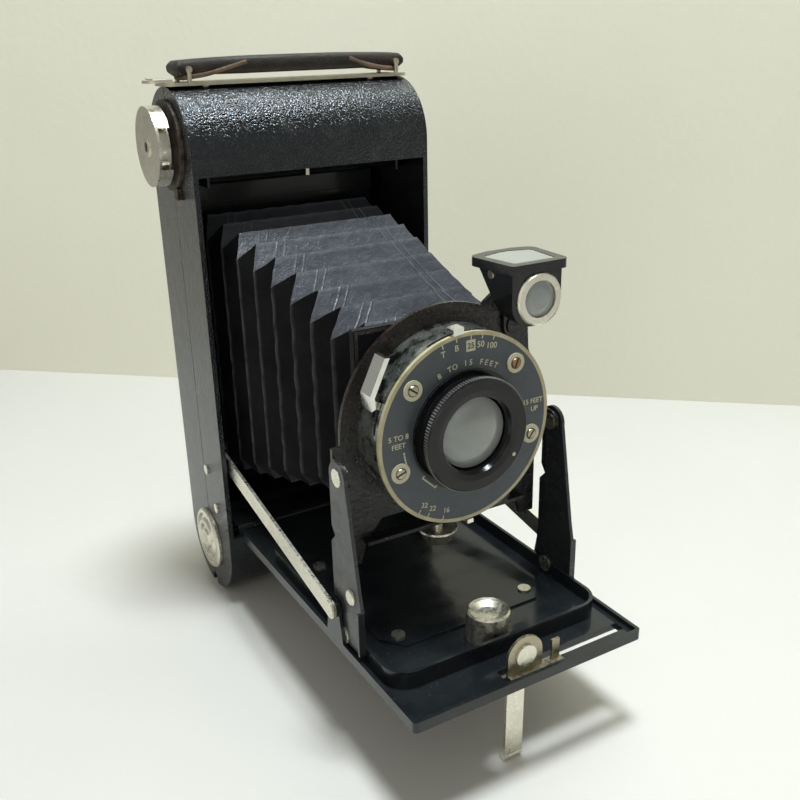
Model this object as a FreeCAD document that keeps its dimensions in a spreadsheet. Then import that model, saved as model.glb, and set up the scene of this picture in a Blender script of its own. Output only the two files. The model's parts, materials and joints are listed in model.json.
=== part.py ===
# Folding roll-film camera, self-erecting, 6 x 9 cm pictures on 620 film.
#
# The camera stands on its bottom end with the bed open and its support leg down.
# X runs to the right seen from the front, Y runs from the front to the back, Z runs up.
# The origin lies under the middle of the body, on the plane where the back cover meets the body.
# All sizes are in millimetres.

import FreeCAD, Part
import math
import os
import re

import Sketcher
from FreeCAD import Placement, Rotation, Vector

os.makedirs("parts", exist_ok=True)
doc = FreeCAD.newDocument("folding_camera")

# ---------------------------------------------------------------- driving dimensions

SIZES = {
    # body
    "body_width": 80.0,
    "body_depth": 38.5,
    "body_height": 170.0,
    "leather": 0.5,
    "wall": 1.1,
    "split_gap": 0.3,
    "opening_low": 25.7,
    "opening_high": 145.0,
    "latch_pin_back": -11.4,
    # film rolls
    "spool_length": 62.7,
    "flange_radius": 11.5,
    "core_radius": 5.0,
    "upper_roll": 153.0,
    "lower_roll": 18.0,
    "chamber_radius": 12.1,
    "sheet": 0.6,
    "frame_half": 36.2,
    "gate_front": 13.25,
    "gate_back": 14.25,
    "picture_half_width": 28.5,
    "picture_half_height": 41.5,
    "picture_middle": 85.5,
    "roller_radius": 1.8,
    "roller_back": 12.75,
    "roller_step": 10.1,
    # back cover
    "cover_hinge": 1.5,
    "knuckle_radius": 1.5,
    "cover_pin_radius": 0.6,
    "window_height": 62.0,
    "window_radius": 4.5,
    # bed
    "bed_half": 36.35,
    "bed_front": -133.35,
    "bed_rear": -19.0,
    "bed_low": 26.5,
    "bed_floor": 28.0,
    "bed_rim": 29.5,
    "bed_hinge_back": -17.25,
    "bed_hinge_up": 28.0,
    "hinge_radius": 1.4,
    "tray_half": 34.0,
    "tray_front": -120.25,
    "tray_rear": -45.0,
    "tray_rim": 33.0,
    "tray_sheet": 0.9,
    "bush_back": -112.25,
    "bush_radius": 6.0,
    "tripod_thread": 3.175,
    # support leg
    "leg_across": -0.8,
    "leg_up": 33.5,
    "leg_back": -128.7,
    "leg_width": 5.6,
    "leg_sheet": 1.0,
    "leg_tab": 5.5,
    "foot_radius": 1.3,
    # arms and struts
    "arm_inner": 34.2,
    "arm_outer": 35.2,
    "arm_low_back": -95.25,
    "arm_low_up": 32.0,
    "arm_top_back": -94.85,
    "arm_top_up": 78.7,
    "strut_inner": 36.75,
    "strut_outer": 37.65,
    "strut_front_back": -91.35,
    "strut_front_up": 38.7,
    "strut_end_back": -14.25,
    "strut_end_up": 53.0,
    "strut_half": 2.8,
    "rivet_radius": 1.5,
    "rivet_head": 2.45,
    # lens standard and shutter
    "lens_up": 86.3,
    "board_front": -90.45,
    "board_back": -89.25,
    "board_radius": 31.5,
    "board_low": 49.0,
    "bellows_front": -87.25,
    "face_front": -101.65,
    "face_back": -100.65,
    "face_radius": 26.5,
    "case_radius": 26.2,
    "case_wall": 1.2,
    "cell_bore": 12.1,
    "mount_radius": 16.6,
    "barrel_radius": 15.4,
    "barrel_front": -107.25,
    "glass_radius": 10.2,
    # places along the lens axis of the layers inside the shutter, front faces
    "speed_layer": -99.9,
    "release_layer": -98.9,
    "plate_layer": -97.2,
    "blade_layer": -96.5,
    "iris_layer": -95.4,
    "aperture_layer": -93.6,
    "lever_sheet": 0.6,
    "blade_sheet": 0.25,
    "blade_pin_drop": 17.0,
    "rear_cell_radius": 11.0,
    "rear_cell_back": -85.25,
    # finder
    "finder_left": 14.5,
    "finder_width": 16.0,
    "finder_front": -100.75,
    "finder_back": -85.75,
    "finder_low": 110.5,
    "finder_top": 127.5,
    "finder_sheet": 0.8,
    "finder_pivot_across": 22.5,
    "finder_pivot_up": 108.5,
    # handle
    "rail_half": 41.5,
    "rail_low": 170.1,
    "rail_sheet": 0.9,
    "strap_left": -37.0,
    "strap_right": 40.0,
    "strap_low": 171.2,
    "strap_high": 178.0,
    "strap_half": 5.0,
    # winding key and knob
    "key_radius": 11.8,
    "key_face": -46.8,
    "key_skirt": 4.2,
    "key_gap": 6.0,
    "shaft_radius": 1.5,
    "shaft_hole": 2.4,
    "knob_radius": 10.8,
}

sheet = doc.addObject("Spreadsheet::Sheet", "Sizes")
for row, (name, size) in enumerate(SIZES.items(), start=1):
    sheet.set(f"A{row}", name)
    sheet.set(f"B{row}", str(size))
    sheet.setAlias(f"B{row}", name)
doc.recompute()

NODES = []


def formula(text):
    """The text with every name of the sheet written the way an expression needs it."""
    def link(match):
        word = match.group()
        return f"Sizes.{word}" if word in SIZES else word
    return re.sub(r"[a-z_]+", link, str(text))


def number(text):
    """The present value of a formula."""
    value = sheet.evalExpression(formula(text))
    return float(getattr(value, "Value", value))


def keep(label, item):
    """Names one finished sub-part."""
    item.Label = label
    NODES.append(item)
    return item


# ---------------------------------------------------------------- blocks, rods and booleans

TURN_TO = {
    "X": Rotation(Vector(0, 1, 0), 90),
    "Y": Rotation(Vector(1, 0, 0), -90),
    "Z": Rotation(),
}


def place(item, x, y, z):
    """Binds the place of an object to three formulas."""
    for axis, text in zip("xyz", (x, y, z)):
        item.setExpression(f"Placement.Base.{axis}", formula(text))
    return item


def box(x, y, z):
    """A block between a low and a high end along each axis."""
    item = doc.addObject("Part::Box", "Block")
    for side, (low, high) in zip(("Length", "Width", "Height"), (x, y, z)):
        item.setExpression(side, formula(f"({high}) - ({low})"))
    return place(item, x[0], y[0], z[0])


def rod(axis, radius, ends, at):
    """A cylinder along an axis, between two ends, at the two other coordinates in XYZ order."""
    item = doc.addObject("Part::Cylinder", "Rod")
    item.setExpression("Radius", formula(radius))
    item.setExpression("Height", formula(f"({ends[1]}) - ({ends[0]})"))
    item.Placement = Placement(Vector(), TURN_TO[axis])
    spot = list(at)
    spot.insert("XYZ".index(axis), ends[0])
    return place(item, *spot)


def sector(radius, ends, at, start, sweep):
    """A slice of a cylinder along Y. The angles run from +X up towards +Z, in degrees."""
    item = doc.addObject("Part::Cylinder", "Slice")
    item.setExpression("Radius", formula(radius))
    item.setExpression("Height", formula(f"({ends[1]}) - ({ends[0]})"))
    item.Angle = sweep
    facing_front = Rotation(Vector(1, 0, 0), 90)
    item.Placement = Placement(Vector(), facing_front * Rotation(Vector(0, 0, 1), start))
    return place(item, at[0], ends[1], at[1])


def hand_ends(hand, inner, outer):
    """The two ends along X of a piece on one side: hand is -1 for the left and 1 for the right."""
    return tuple(sorted((f"{hand} * ({inner})", f"{hand} * ({outer})"), key=number))


def fuse(*items):
    if len(items) == 1:
        return items[0]
    item = doc.addObject("Part::MultiFuse", "Joined")
    item.Shapes = list(items)
    return item


def cut(base, *tools):
    item = doc.addObject("Part::Cut", "Hollowed")
    item.Base = base
    item.Tool = fuse(*tools)
    return item


def common(*items):
    item = doc.addObject("Part::MultiCommon", "Shared")
    item.Shapes = list(items)
    return item


# ---------------------------------------------------------------- sketched plates and turned pieces

PLANES = {"XY": "XY_Plane", "XZ": "XZ_Plane", "YZ": "YZ_Plane"}
NORMAL = {"XY": "z", "XZ": "y", "YZ": "x"}


def new_sketch(body, plane):
    """A sketch on one of the body's own origin planes."""
    sketch = body.newObject("Sketcher::SketchObject", "Outline")
    role = PLANES[plane]
    support = [item for item in body.Origin.OriginFeatures if item.Role == role][0]
    sketch.AttachmentSupport = [(support, "")]
    sketch.MapMode = "FlatFace"
    return sketch


def bind_point(sketch, line, end, u, v):
    """Ties one point of a sketch to two formulas."""
    for kind, text in (("DistanceX", u), ("DistanceY", v)):
        index = sketch.addConstraint(Sketcher.Constraint(kind, -1, 1, line, end, number(text)))
        sketch.setExpression(f"Constraints[{index}]", formula(text))


def draw_outline(sketch, points):
    """A closed outline of straight lines through the points."""
    count = len(points)
    spots = [Vector(number(u), number(v), 0) for u, v in points]
    lines = [
        sketch.addGeometry(Part.LineSegment(spots[i], spots[(i + 1) % count]))
        for i in range(count)
    ]
    for i, line in enumerate(lines):
        following = lines[(i + 1) % count]
        sketch.addConstraint(Sketcher.Constraint("Coincident", line, 2, following, 1))
    for line, (u, v) in zip(lines, points):
        bind_point(sketch, line, 1, u, v)


def draw_circle(sketch, u, v, radius):
    middle = Vector(number(u), number(v), 0)
    circle = sketch.addGeometry(Part.Circle(middle, Vector(0, 0, 1), number(radius)))
    bind_point(sketch, circle, 3, u, v)
    index = sketch.addConstraint(Sketcher.Constraint("Radius", circle, number(radius)))
    sketch.setExpression(f"Constraints[{index}]", formula(radius))


def plate(plane, ends, outline=(), circles=(), corners=None):
    """A sheet cut to an outline and circles, between two ends along its normal.

    The outline's points and the circles are given in the plane's own two axes, in XYZ order.
    corners gives the radius for chosen points of the outline, by their place in the list.
    """
    body = doc.addObject("PartDesign::Body", "Plate")
    sketch = new_sketch(body, plane)
    if outline:
        draw_outline(sketch, outline)
    for circle in circles:
        draw_circle(sketch, *circle)
    pad = body.newObject("PartDesign::Pad", "Pad")
    pad.Profile = sketch
    pad.setExpression("Length", formula(f"({ends[1]}) - ({ends[0]})"))
    body.Tip = pad
    if corners:
        round_corners(body, pad, plane, outline, corners)
    start = ends[1] if plane == "XZ" else ends[0]
    body.setExpression(f"Placement.Base.{NORMAL[plane]}", formula(start))
    return body


def round_corners(body, pad, plane, outline, corners):
    """Rounds the edges of a pad that stand on chosen points of its outline."""
    doc.recompute()
    axes = {"XY": (0, 1), "XZ": (0, 2), "YZ": (1, 2)}[plane]
    for radius in sorted(set(corners.values())):
        base = body.Tip
        chosen = [outline[i] for i, size in corners.items() if size == radius]
        spots = [(number(u), number(v)) for u, v in chosen]
        names = []
        for i, edge in enumerate(base.Shape.Edges, start=1):
            ends = [(vertex.Point[axes[0]], vertex.Point[axes[1]]) for vertex in edge.Vertexes]
            if len(ends) != 2 or math.dist(ends[0], ends[1]) > 1e-6:
                continue
            if any(math.dist(ends[0], spot) < 1e-6 for spot in spots):
                names.append(f"Edge{i}")
        fillet = body.newObject("PartDesign::Fillet", "Rounding")
        fillet.Base = (base, names)
        fillet.Radius = radius
        body.Tip = fillet
        doc.recompute()


def turned(axis, at, outline):
    """A piece turned on a lathe. The outline's points are (radius, place along the axis)."""
    body = doc.addObject("PartDesign::Body", "Turned")
    sketch = new_sketch(body, "XZ")
    draw_outline(sketch, outline)
    turn = body.newObject("PartDesign::Revolution", "Turn")
    turn.Profile = sketch
    turn.ReferenceAxis = (sketch, ["V_Axis"])
    turn.Angle = 360.0
    body.Tip = turn
    body.Placement = Placement(Vector(), TURN_TO[axis])
    spot = list(at)
    spot.insert("XYZ".index(axis), "0")
    return place(body, *spot)


def lens_element(front, back, radius, curve):
    """A piece of glass on the lens axis, with both faces curved outwards."""
    edge = rod("Y", radius, (front, back), ("0", "lens_up"))
    caps = []
    for centre in (f"({front}) + ({curve})", f"({back}) - ({curve})"):
        ball = doc.addObject("Part::Sphere", "Curve")
        ball.setExpression("Radius", formula(curve))
        caps.append(place(ball, "0", centre, "lens_up"))
    return common(edge, *caps)


# ---------------------------------------------------------------- body shells and their leather

def capsule(inset):
    """The body's whole outer form, a flat box with round ends, made smaller by the inset."""
    radius = f"body_depth / 2 - ({inset})"
    half = f"body_width / 2 - ({inset})"
    across = (f"-({half})", half)
    lower, upper = "body_depth / 2", "body_height - body_depth / 2"
    middle = box(across, (f"-({radius})", radius), (lower, upper))
    ends = [rod("X", radius, across, ("0", height)) for height in (lower, upper)]
    return fuse(middle, *ends)


WIDE = ("-body_width", "body_width")
FRONT_HALF = ("-body_depth", "-split_gap / 2")
REAR_HALF = ("split_gap / 2", "body_depth")
FULL_HEIGHT = ("-10", "body_height + 10")


def front_opening():
    half = "body_width / 2 - leather - wall"
    return box((f"-({half})", half), ("-body_depth", "-13"), ("opening_low", "opening_high"))


def shaft_holes():
    """Holes for the winding shaft and the spool knob, both in the left side."""
    ends = ("-body_width", "-body_width / 2 + 5")
    return [rod("X", "shaft_hole", ends, ("0", roll)) for roll in ("upper_roll", "lower_roll")]


def knuckles(spans):
    """Hinge barrels of the back cover, with the leaves that join them to a shell."""
    pieces = []
    for low, high, side in spans:
        pieces.append(rod("X", "knuckle_radius", (low, high), ("0", "cover_hinge")))
        leaf = ("-3", "-0.9") if side == "front" else ("0.9", "3")
        pieces.append(box((low, high), leaf, ("leather + 0.15", "leather + wall + 0.1")))
    return fuse(*pieces)


def cover_pin_bore():
    return rod("X", "cover_pin_radius + 0.05", ("-50", "50"), ("0", "cover_hinge"))


def cover_notch(low, high, back):
    """Room cut at the bottom for the hinge barrels and for what swings past them."""
    return box((low, high), back, ("-1", "cover_hinge + 1.6"))


def front_shell():
    half = common(capsule("leather"), box(WIDE, FRONT_HALF, FULL_HEIGHT))
    cleared = cut(
        half,
        capsule("leather + wall"),
        front_opening(),
        cover_notch("-50", "50", ("-1.75", "5")),
        *shaft_holes(),
        *rail_posts("body_height - 3"),
    )
    barrels = knuckles([("-36", "-12.1", "front"), ("12.1", "36", "front")])
    return keep("front_shell", cut(fuse(cleared, barrels), cover_pin_bore()))


def front_leather():
    half = common(capsule("0"), box(WIDE, FRONT_HALF, FULL_HEIGHT))
    return keep("front_leather", cut(
        half,
        capsule("leather"),
        front_opening(),
        cover_notch("-50", "50", ("-2", "5")),
        *shaft_holes(),
        *rail_posts("body_height - 3"),
    ))


def rail_posts(low):
    """The two rivets that hold the handle's rail, from a height below the top end."""
    return [rod("Z", "1.2", (low, "rail_low + 0.1"), (across, "-3")) for across in ("-28", "28")]


def rear_window_hole(radius):
    return rod("Y", radius, ("10", "body_depth"), ("0", "window_height"))


def rear_shell():
    half = common(capsule("leather"), box(WIDE, REAR_HALF, FULL_HEIGHT))
    cleared = cut(
        half,
        capsule("leather + wall"),
        cover_notch("-50", "50", ("-5", "1.75")),
        rear_window_hole("window_radius"),
        *shaft_holes(),
    )
    barrel = knuckles([("-12", "12", "rear")])
    return keep("rear_shell", cut(fuse(cleared, barrel), cover_pin_bore()))


def rear_leather():
    half = common(capsule("0"), box(WIDE, REAR_HALF, FULL_HEIGHT))
    return keep("rear_leather", cut(
        half,
        capsule("leather"),
        cover_notch("-50", "50", ("-5", "2")),
        rear_window_hole("window_radius + 1.6"),
        *shaft_holes(),
    ))


def cover_hinge_pin():
    pin = rod("X", "cover_pin_radius", ("-36.5", "36.5"), ("0", "cover_hinge"))
    return keep("cover_hinge_pin", pin)


def red_window():
    """A ring pressed into the back cover, and the red pane that it holds."""
    ring = turned("Y", ("0", "window_height"), [
        ("window_radius - 1", "body_depth / 2 - leather - wall"),
        ("window_radius - 0.05", "body_depth / 2 - leather - wall"),
        ("window_radius - 0.05", "body_depth / 2 - leather"),
        ("window_radius + 1.5", "body_depth / 2 - leather"),
        ("window_radius + 1.2", "body_depth / 2 + 0.2"),
        ("window_radius - 1", "body_depth / 2 + 0.2"),
    ])
    pane = rod(
        "Y", "window_radius - 1",
        ("body_depth / 2 - leather - wall", "body_depth / 2 - leather - 0.2"),
        ("0", "window_height"),
    )
    keep("window_ring", ring)
    keep("red_window", pane)


def pressure_plate():
    """The plate that holds the film flat, and the bowed leaf spring behind it."""
    back = ("gate_back + 0.75", "gate_back + 1.75")
    half = "picture_half_width + 2"
    low = "picture_middle - picture_half_height - 4"
    high = "picture_middle + picture_half_height + 4"
    sheet_piece = box((f"-({half})", half), back, (low, high))
    window = rod("Y", "window_radius + 0.5", ("10", "body_depth"), ("0", "window_height"))
    keep("pressure_plate", cut(sheet_piece, window))
    rise = 1.2
    reach = 26.0
    thickness = 0.25
    front = number(back[1])
    middle = number("picture_middle") + 12
    outer = Part.Arc(
        Vector(0, front + thickness, middle - reach),
        Vector(0, front + thickness + rise, middle),
        Vector(0, front + thickness, middle + reach),
    ).toShape()
    inner = Part.Arc(
        Vector(0, front, middle - reach),
        Vector(0, front + rise, middle),
        Vector(0, front, middle + reach),
    ).toShape()
    ends = [
        Part.makeLine(Vector(0, front, z), Vector(0, front + thickness, z))
        for z in (middle - reach, middle + reach)
    ]
    face = Part.Face(Part.Wire(Part.__sortEdges__([outer, inner] + ends)))
    spring = doc.addObject("Part::Feature", "Spring")
    spring.Shape = face.extrude(Vector(10, 0, 0))
    spring.Placement = Placement(Vector(-5, 0, 0), Rotation())
    keep("pressure_spring", spring)


# ---------------------------------------------------------------- inside the body

def chamber_wall(roll, side):
    """The curved wall between a film roll and the space for the folded front.

    side is +1 under the upper roll and -1 over the lower one.
    """
    across = ("-frame_half", "frame_half")
    outer = rod("X", "chamber_radius + sheet", across, ("0", roll))
    inner = rod("X", "chamber_radius", across, ("0", roll))
    near, far = f"{roll} - {side} * 30", f"{roll} - {side} * chamber_radius"
    shelf = "opening_high + 1" if side > 0 else "bed_rim - 0.2"
    low, high = (near, shelf) if side > 0 else (shelf, near)
    quarter = common(cut(outer, inner), box(across, ("-20", "0"), (low, high)))
    web_ends = sorted((far, f"{roll} - {side} * (chamber_radius + sheet)"), key=number)
    web = box(across, ("0", "gate_back"), tuple(web_ends))
    return [quarter, web]


def shelves():
    """The flat strips between the front edge of the body and the curved walls."""
    across = ("-frame_half", "frame_half")
    upper = box(across, ("-body_depth / 2 + leather + wall", "-10.4"), ("opening_high", "opening_high + 1"))
    lower = box(across, ("-15", "-5.4"), ("bed_rim - 1.2", "bed_rim - 0.2"))
    latch_hole = rod("Z", "0.8", ("opening_high - 1", "opening_high + 2"), ("0", "latch_pin_back"))
    return [cut(upper, latch_hole), lower]


def film_gate():
    """The plate with the picture opening, the film lies just behind it."""
    low, high = "lower_roll + chamber_radius", "upper_roll - chamber_radius"
    gate = box(("-frame_half", "frame_half"), ("gate_front", "gate_back"), (low, high))
    opening = box(
        ("-picture_half_width", "picture_half_width"), ("0", "20"),
        ("picture_middle - picture_half_height", "picture_middle + picture_half_height"),
    )
    return cut(gate, opening)


def cheeks(roll, side):
    """The two end walls of a film chamber, which carry the spool and the film roller."""
    pieces = []
    for hand in (-1, 1):
        ends = sorted((f"{hand} * (spool_length / 2 + 1)", f"{hand} * (spool_length / 2 + 1.8)"),
                      key=number)
        rows = sorted((f"{roll} - {side} * chamber_radius", f"{roll} + {side} * 10"), key=number)
        main = box(tuple(ends), ("-chamber_radius + 0.7", "10.5"), tuple(rows))
        rows = sorted((f"{roll} - {side} * chamber_radius", f"{roll} - {side} * 8"), key=number)
        nose = box(tuple(ends), ("8", "gate_back"), tuple(rows))
        pieces += [main, nose]
    return pieces


def bed_hinge_barrels():
    """The barrels at the front of the lower shelf that hold the bed's hinge pin."""
    pieces = []
    for low, high in (("-35.2", "-30.2"), ("-13.8", "13.8"), ("30.2", "35.2")):
        pieces.append(rod("X", "hinge_radius", (low, high), ("bed_hinge_back", "bed_hinge_up")))
        pieces.append(box(
            (low, high), ("bed_hinge_back + 0.6", "-14.6"), ("bed_rim - 1.2", "bed_rim - 0.2")))
    return pieces


def bellows_frame():
    """The raised frame round the film gate that the rear end of the bellows is fixed to."""
    outer = box(("-34", "34"), ("gate_front - 1", "gate_front"),
                ("picture_middle - 47", "picture_middle + 47"))
    inner = box(("-picture_half_width - 1", "picture_half_width + 1"), ("0", "20"),
                ("picture_middle - picture_half_height - 1",
                 "picture_middle + picture_half_height + 1"))
    return cut(outer, inner)


def inner_frame():
    """The steel frame inside the body: film chambers, picture gate and the bed's hinge barrels."""
    solid = fuse(
        *chamber_wall("upper_roll", 1),
        *chamber_wall("lower_roll", -1),
        *shelves(),
        film_gate(),
        bellows_frame(),
        *bed_hinge_barrels(),
        *cheeks("upper_roll", 1),
        *cheeks("lower_roll", -1),
    )
    bores = [rod("X", "shaft_radius + 0.05", ("-50", "50"), ("0", roll))
             for roll in ("upper_roll", "lower_roll")]
    bores += [rod("X", "0.85", ("-50", "50"), ("roller_back", height))
              for height in ("upper_roll - roller_step", "lower_roll + roller_step")]
    bores.append(rod("X", "0.75", ("-50", "50"), ("bed_hinge_back", "bed_hinge_up")))
    return keep("inner_frame", cut(solid, *bores))


def film_roller(label, height):
    """A roller that guides the film round the edge of the gate, with its thin end pins."""
    half = "spool_length / 2 + 0.8"
    pin = "spool_length / 2 + 2.2"
    return keep(label, turned("X", ("roller_back", height), [
        ("0", f"-({pin})"),
        ("0.8", f"-({pin})"),
        ("0.8", f"-({half})"),
        ("roller_radius", f"-({half})"),
        ("roller_radius", half),
        ("0.8", half),
        ("0.8", pin),
        ("0", pin),
    ]))


def take_up_spool():
    half = "spool_length / 2"
    return keep("take_up_spool", turned("X", ("0", "upper_roll"), [
        ("shaft_radius + 0.1", f"-{half}"),
        ("flange_radius", f"-{half}"),
        ("flange_radius", f"-{half} + 0.9"),
        ("core_radius", f"-{half} + 0.9"),
        ("core_radius", f"{half} - 0.9"),
        ("flange_radius", f"{half} - 0.9"),
        ("flange_radius", half),
        ("shaft_radius + 0.1", half),
    ]))


def spool_pins():
    """The fixed pins in the right-hand ends of both film chambers."""
    pins = []
    for roll in ("upper_roll", "lower_roll"):
        ends = ("spool_length / 2 - 3", "spool_length / 2 + 2.6")
        shank = rod("X", "shaft_radius", ends, ("0", roll))
        head = rod("X", "3", ("spool_length / 2 + 1.8", "spool_length / 2 + 2.6"), ("0", roll))
        pins.append(fuse(shank, head))
    return keep("spool_pins", fuse(*pins))


def winding_key():
    """The round key on the left side: a face, a skirt in two parts and a hub."""
    at = ("0", "upper_roll")
    face = rod("X", "key_radius", ("key_face", "key_face + 0.8"), at)
    skirt = cut(
        rod("X", "key_radius", ("key_face", "key_face + key_skirt"), at),
        rod("X", "key_radius - 0.9", ("key_face - 1", "key_face + key_skirt + 1"), at),
        box(("key_face + 0.8", "key_face + key_skirt + 1"), ("-20", "20"),
            ("upper_roll - key_gap", "upper_roll + key_gap")),
    )
    hub = rod("X", "9.6", ("key_face + 0.5", "key_face + key_skirt"), at)
    boss = rod("X", "2.9", ("key_face - 0.4", "key_face + 0.1"), at)
    dimple = rod("X", "shaft_radius", ("key_face - 1", "key_face + 1.4"), at)
    shaft = rod("X", "shaft_radius", ("key_face + 1.2", "-spool_length / 2 + 4"), at)
    keep("winding_key", cut(fuse(face, skirt, hub, boss, shaft), dimple))


def key_collar():
    """The fixed collar round the winding shaft, with the pawl that stops the key turning back."""
    at = ("0", "upper_roll")
    collar = cut(
        rod("X", "13.4", ("-body_width / 2 - 1", "-body_width / 2"), at),
        rod("X", "shaft_hole", ("-body_width", "0"), at),
    )
    low, high = "upper_roll - 15.6", "upper_roll - 12.2"
    pawl = box(("-body_width / 2 - 1.2", "-body_width / 2"), ("-7", "-3.4"), (low, high))
    keep("key_collar", fuse(collar, pawl))


def spool_knob():
    """The knob that is pulled out to free the full spool, with its shaft."""
    face = "-body_width / 2"
    return keep("spool_knob", turned("X", ("0", "lower_roll"), [
        ("0", f"{face} - 2.3"),
        ("3.2", f"{face} - 2.3"),
        ("3.7", f"{face} - 1.2"),
        ("5.0", f"{face} - 1.2"),
        ("5.6", f"{face} - 2.1"),
        ("6.8", f"{face} - 2.1"),
        ("7.4", f"{face} - 0.9"),
        ("8.6", f"{face} - 0.9"),
        ("9.2", f"{face} - 1.7"),
        ("knob_radius - 0.5", f"{face} - 1.6"),
        ("knob_radius", f"{face} - 1.0"),
        ("knob_radius", f"{face} - 0.1"),
        ("shaft_radius", f"{face} - 0.1"),
        ("shaft_radius", "-spool_length / 2 + 4"),
        ("0", "-spool_length / 2 + 4"),
    ]))


def bed_latch_pin():
    """The small headed pin under the roof of the opening, which the closed bed catches."""
    stem = rod("Z", "0.8", ("opening_high - 3", "opening_high + 1.6"), ("0", "latch_pin_back"))
    head = rod("Z", "1.5", ("opening_high - 0.4", "opening_high"), ("0", "latch_pin_back"))
    return keep("bed_latch_pin", fuse(stem, head))


def bellows():
    """The folded leather tunnel, as a plain tapering tube with cut corners."""
    def ring(back, half_width, half_height, middle, corner):
        w, tall = half_width, half_height
        spots = [
            (w, tall - corner), (w - corner, tall), (corner - w, tall), (-w, tall - corner),
            (-w, corner - tall), (corner - w, -tall), (w - corner, -tall), (w, corner - tall),
        ]
        points = [Vector(x, back, middle + z) for x, z in spots]
        return Part.makePolygon(points + points[:1])

    rear, front = number("gate_front - 1"), number("bellows_front")
    middle, lens = number("picture_middle"), number("lens_up + 1.5")
    skin = 1.0
    outer = Part.makeLoft([ring(rear, 33, 46, middle, 7), ring(front, 24.5, 25.5, lens, 6)], True)
    inner = Part.makeLoft([
        ring(rear + 1, 33 - skin, 46 - skin, middle, 6.5),
        ring(front - 1, 24.5 - skin, 25.5 - skin, lens, 5.5),
    ], True)
    item = doc.addObject("Part::Feature", "Tunnel")
    item.Shape = outer.cut(inner)
    return keep("bellows", item)


def strut_guides():
    """Small plates beside the rear ends of the struts, one at each side of the body."""
    plates = []
    for hand in (-1, 1):
        ends = sorted((f"{hand} * 35.5", f"{hand} * 36.45"), key=number)
        plates.append(plate("YZ", tuple(ends), outline=[
            ("-12.9", "47"), ("-3.1", "47"), ("-3.1", "64"), ("-4.6", "64"), ("-12.9", "56"),
        ]))
        foot = sorted((f"{hand} * 36.4", f"{hand} * 38.4"), key=number)
        plates.append(box(tuple(foot), ("-4", "-3.1"), ("61", "64")))
    return keep("strut_guides", fuse(*plates))


def side_rivets():
    """Rivet heads on both sides of the body, low down near the bed."""
    heads = []
    for hand in (-1, 1):
        ends = sorted((f"{hand} * (body_width / 2)", f"{hand} * (body_width / 2 + 0.5)"), key=number)
        for back, up in (("-2.95", "45.7"), ("-9.55", "33.7")):
            heads.append(rod("X", "1.7", tuple(ends), (back, up)))
    return keep("side_rivets", fuse(*heads))


# ---------------------------------------------------------------- handle and back latch

def handle():
    """A nickelled rail on the top end, with a folded leather strap held by two loops."""
    rail = plate("XY", ("rail_low", "rail_low + rail_sheet"), outline=[
        ("-rail_half", "-6.5"), ("rail_half", "-6.5"), ("rail_half", "6.5"), ("-rail_half", "6.5"),
    ], corners={0: 4.0, 1: 4.0, 2: 4.0, 3: 4.0})
    posts = rail_posts("body_height - 1.4")
    middle = "(strap_low + strap_high) / 2"
    radius = "(strap_high - strap_low) / 2"
    ends = ("-strap_half", "strap_half")
    left, right = f"strap_left + {radius}", f"strap_right - {radius}"
    loops = []
    for across in (left, right):
        loops.append(rod("Y", "1", ("-strap_half - 1.2", "strap_half + 1.2"), (across, middle)))
        loops += [rod("Z", "0.7", ("rail_low + 0.1", middle), (across, back))
                  for back in ("-strap_half - 0.8", "strap_half + 0.8")]
    keep("handle_rail", fuse(rail, *posts, *loops))

    whole = fuse(
        box((left, right), ends, ("strap_low", "strap_high")),
        rod("Y", radius, ends, (left, middle)),
        rod("Y", radius, ends, (right, middle)),
    )
    slot = box((f"{left} - 0.6", f"{right} + 0.6"), ("-10", "10"),
               (f"{middle} - 0.9", f"{middle} + 0.3"))
    gap = box(("strap_left + 24", "strap_right - 24"), ("-10", "10"), ("strap_low - 1", middle))
    bores = [rod("Y", "1.15", ("-10", "10"), (across, middle)) for across in (left, right)]
    keep("handle_strap", cut(whole, slot, gap, *bores))


def back_latch():
    """The sliding tongue over the left end of the rail, which frees the back cover."""
    tongue = plate("XY", ("rail_low + rail_sheet + 0.05", "rail_low + rail_sheet + 0.95"), outline=[
        ("-46", "-4"), ("-38.2", "-4"), ("-38.2", "4"), ("-46", "4"),
    ], corners={0: 3.6, 3: 3.6})
    rib_rise = ("rail_low + rail_sheet + 0.9", "rail_low + rail_sheet + 1.4")
    rib = box(("-44.4", "-43.6"), ("-2.4", "2.4"), rib_rise)
    return keep("back_latch", fuse(tongue, rib))


# ---------------------------------------------------------------- bed

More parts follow.
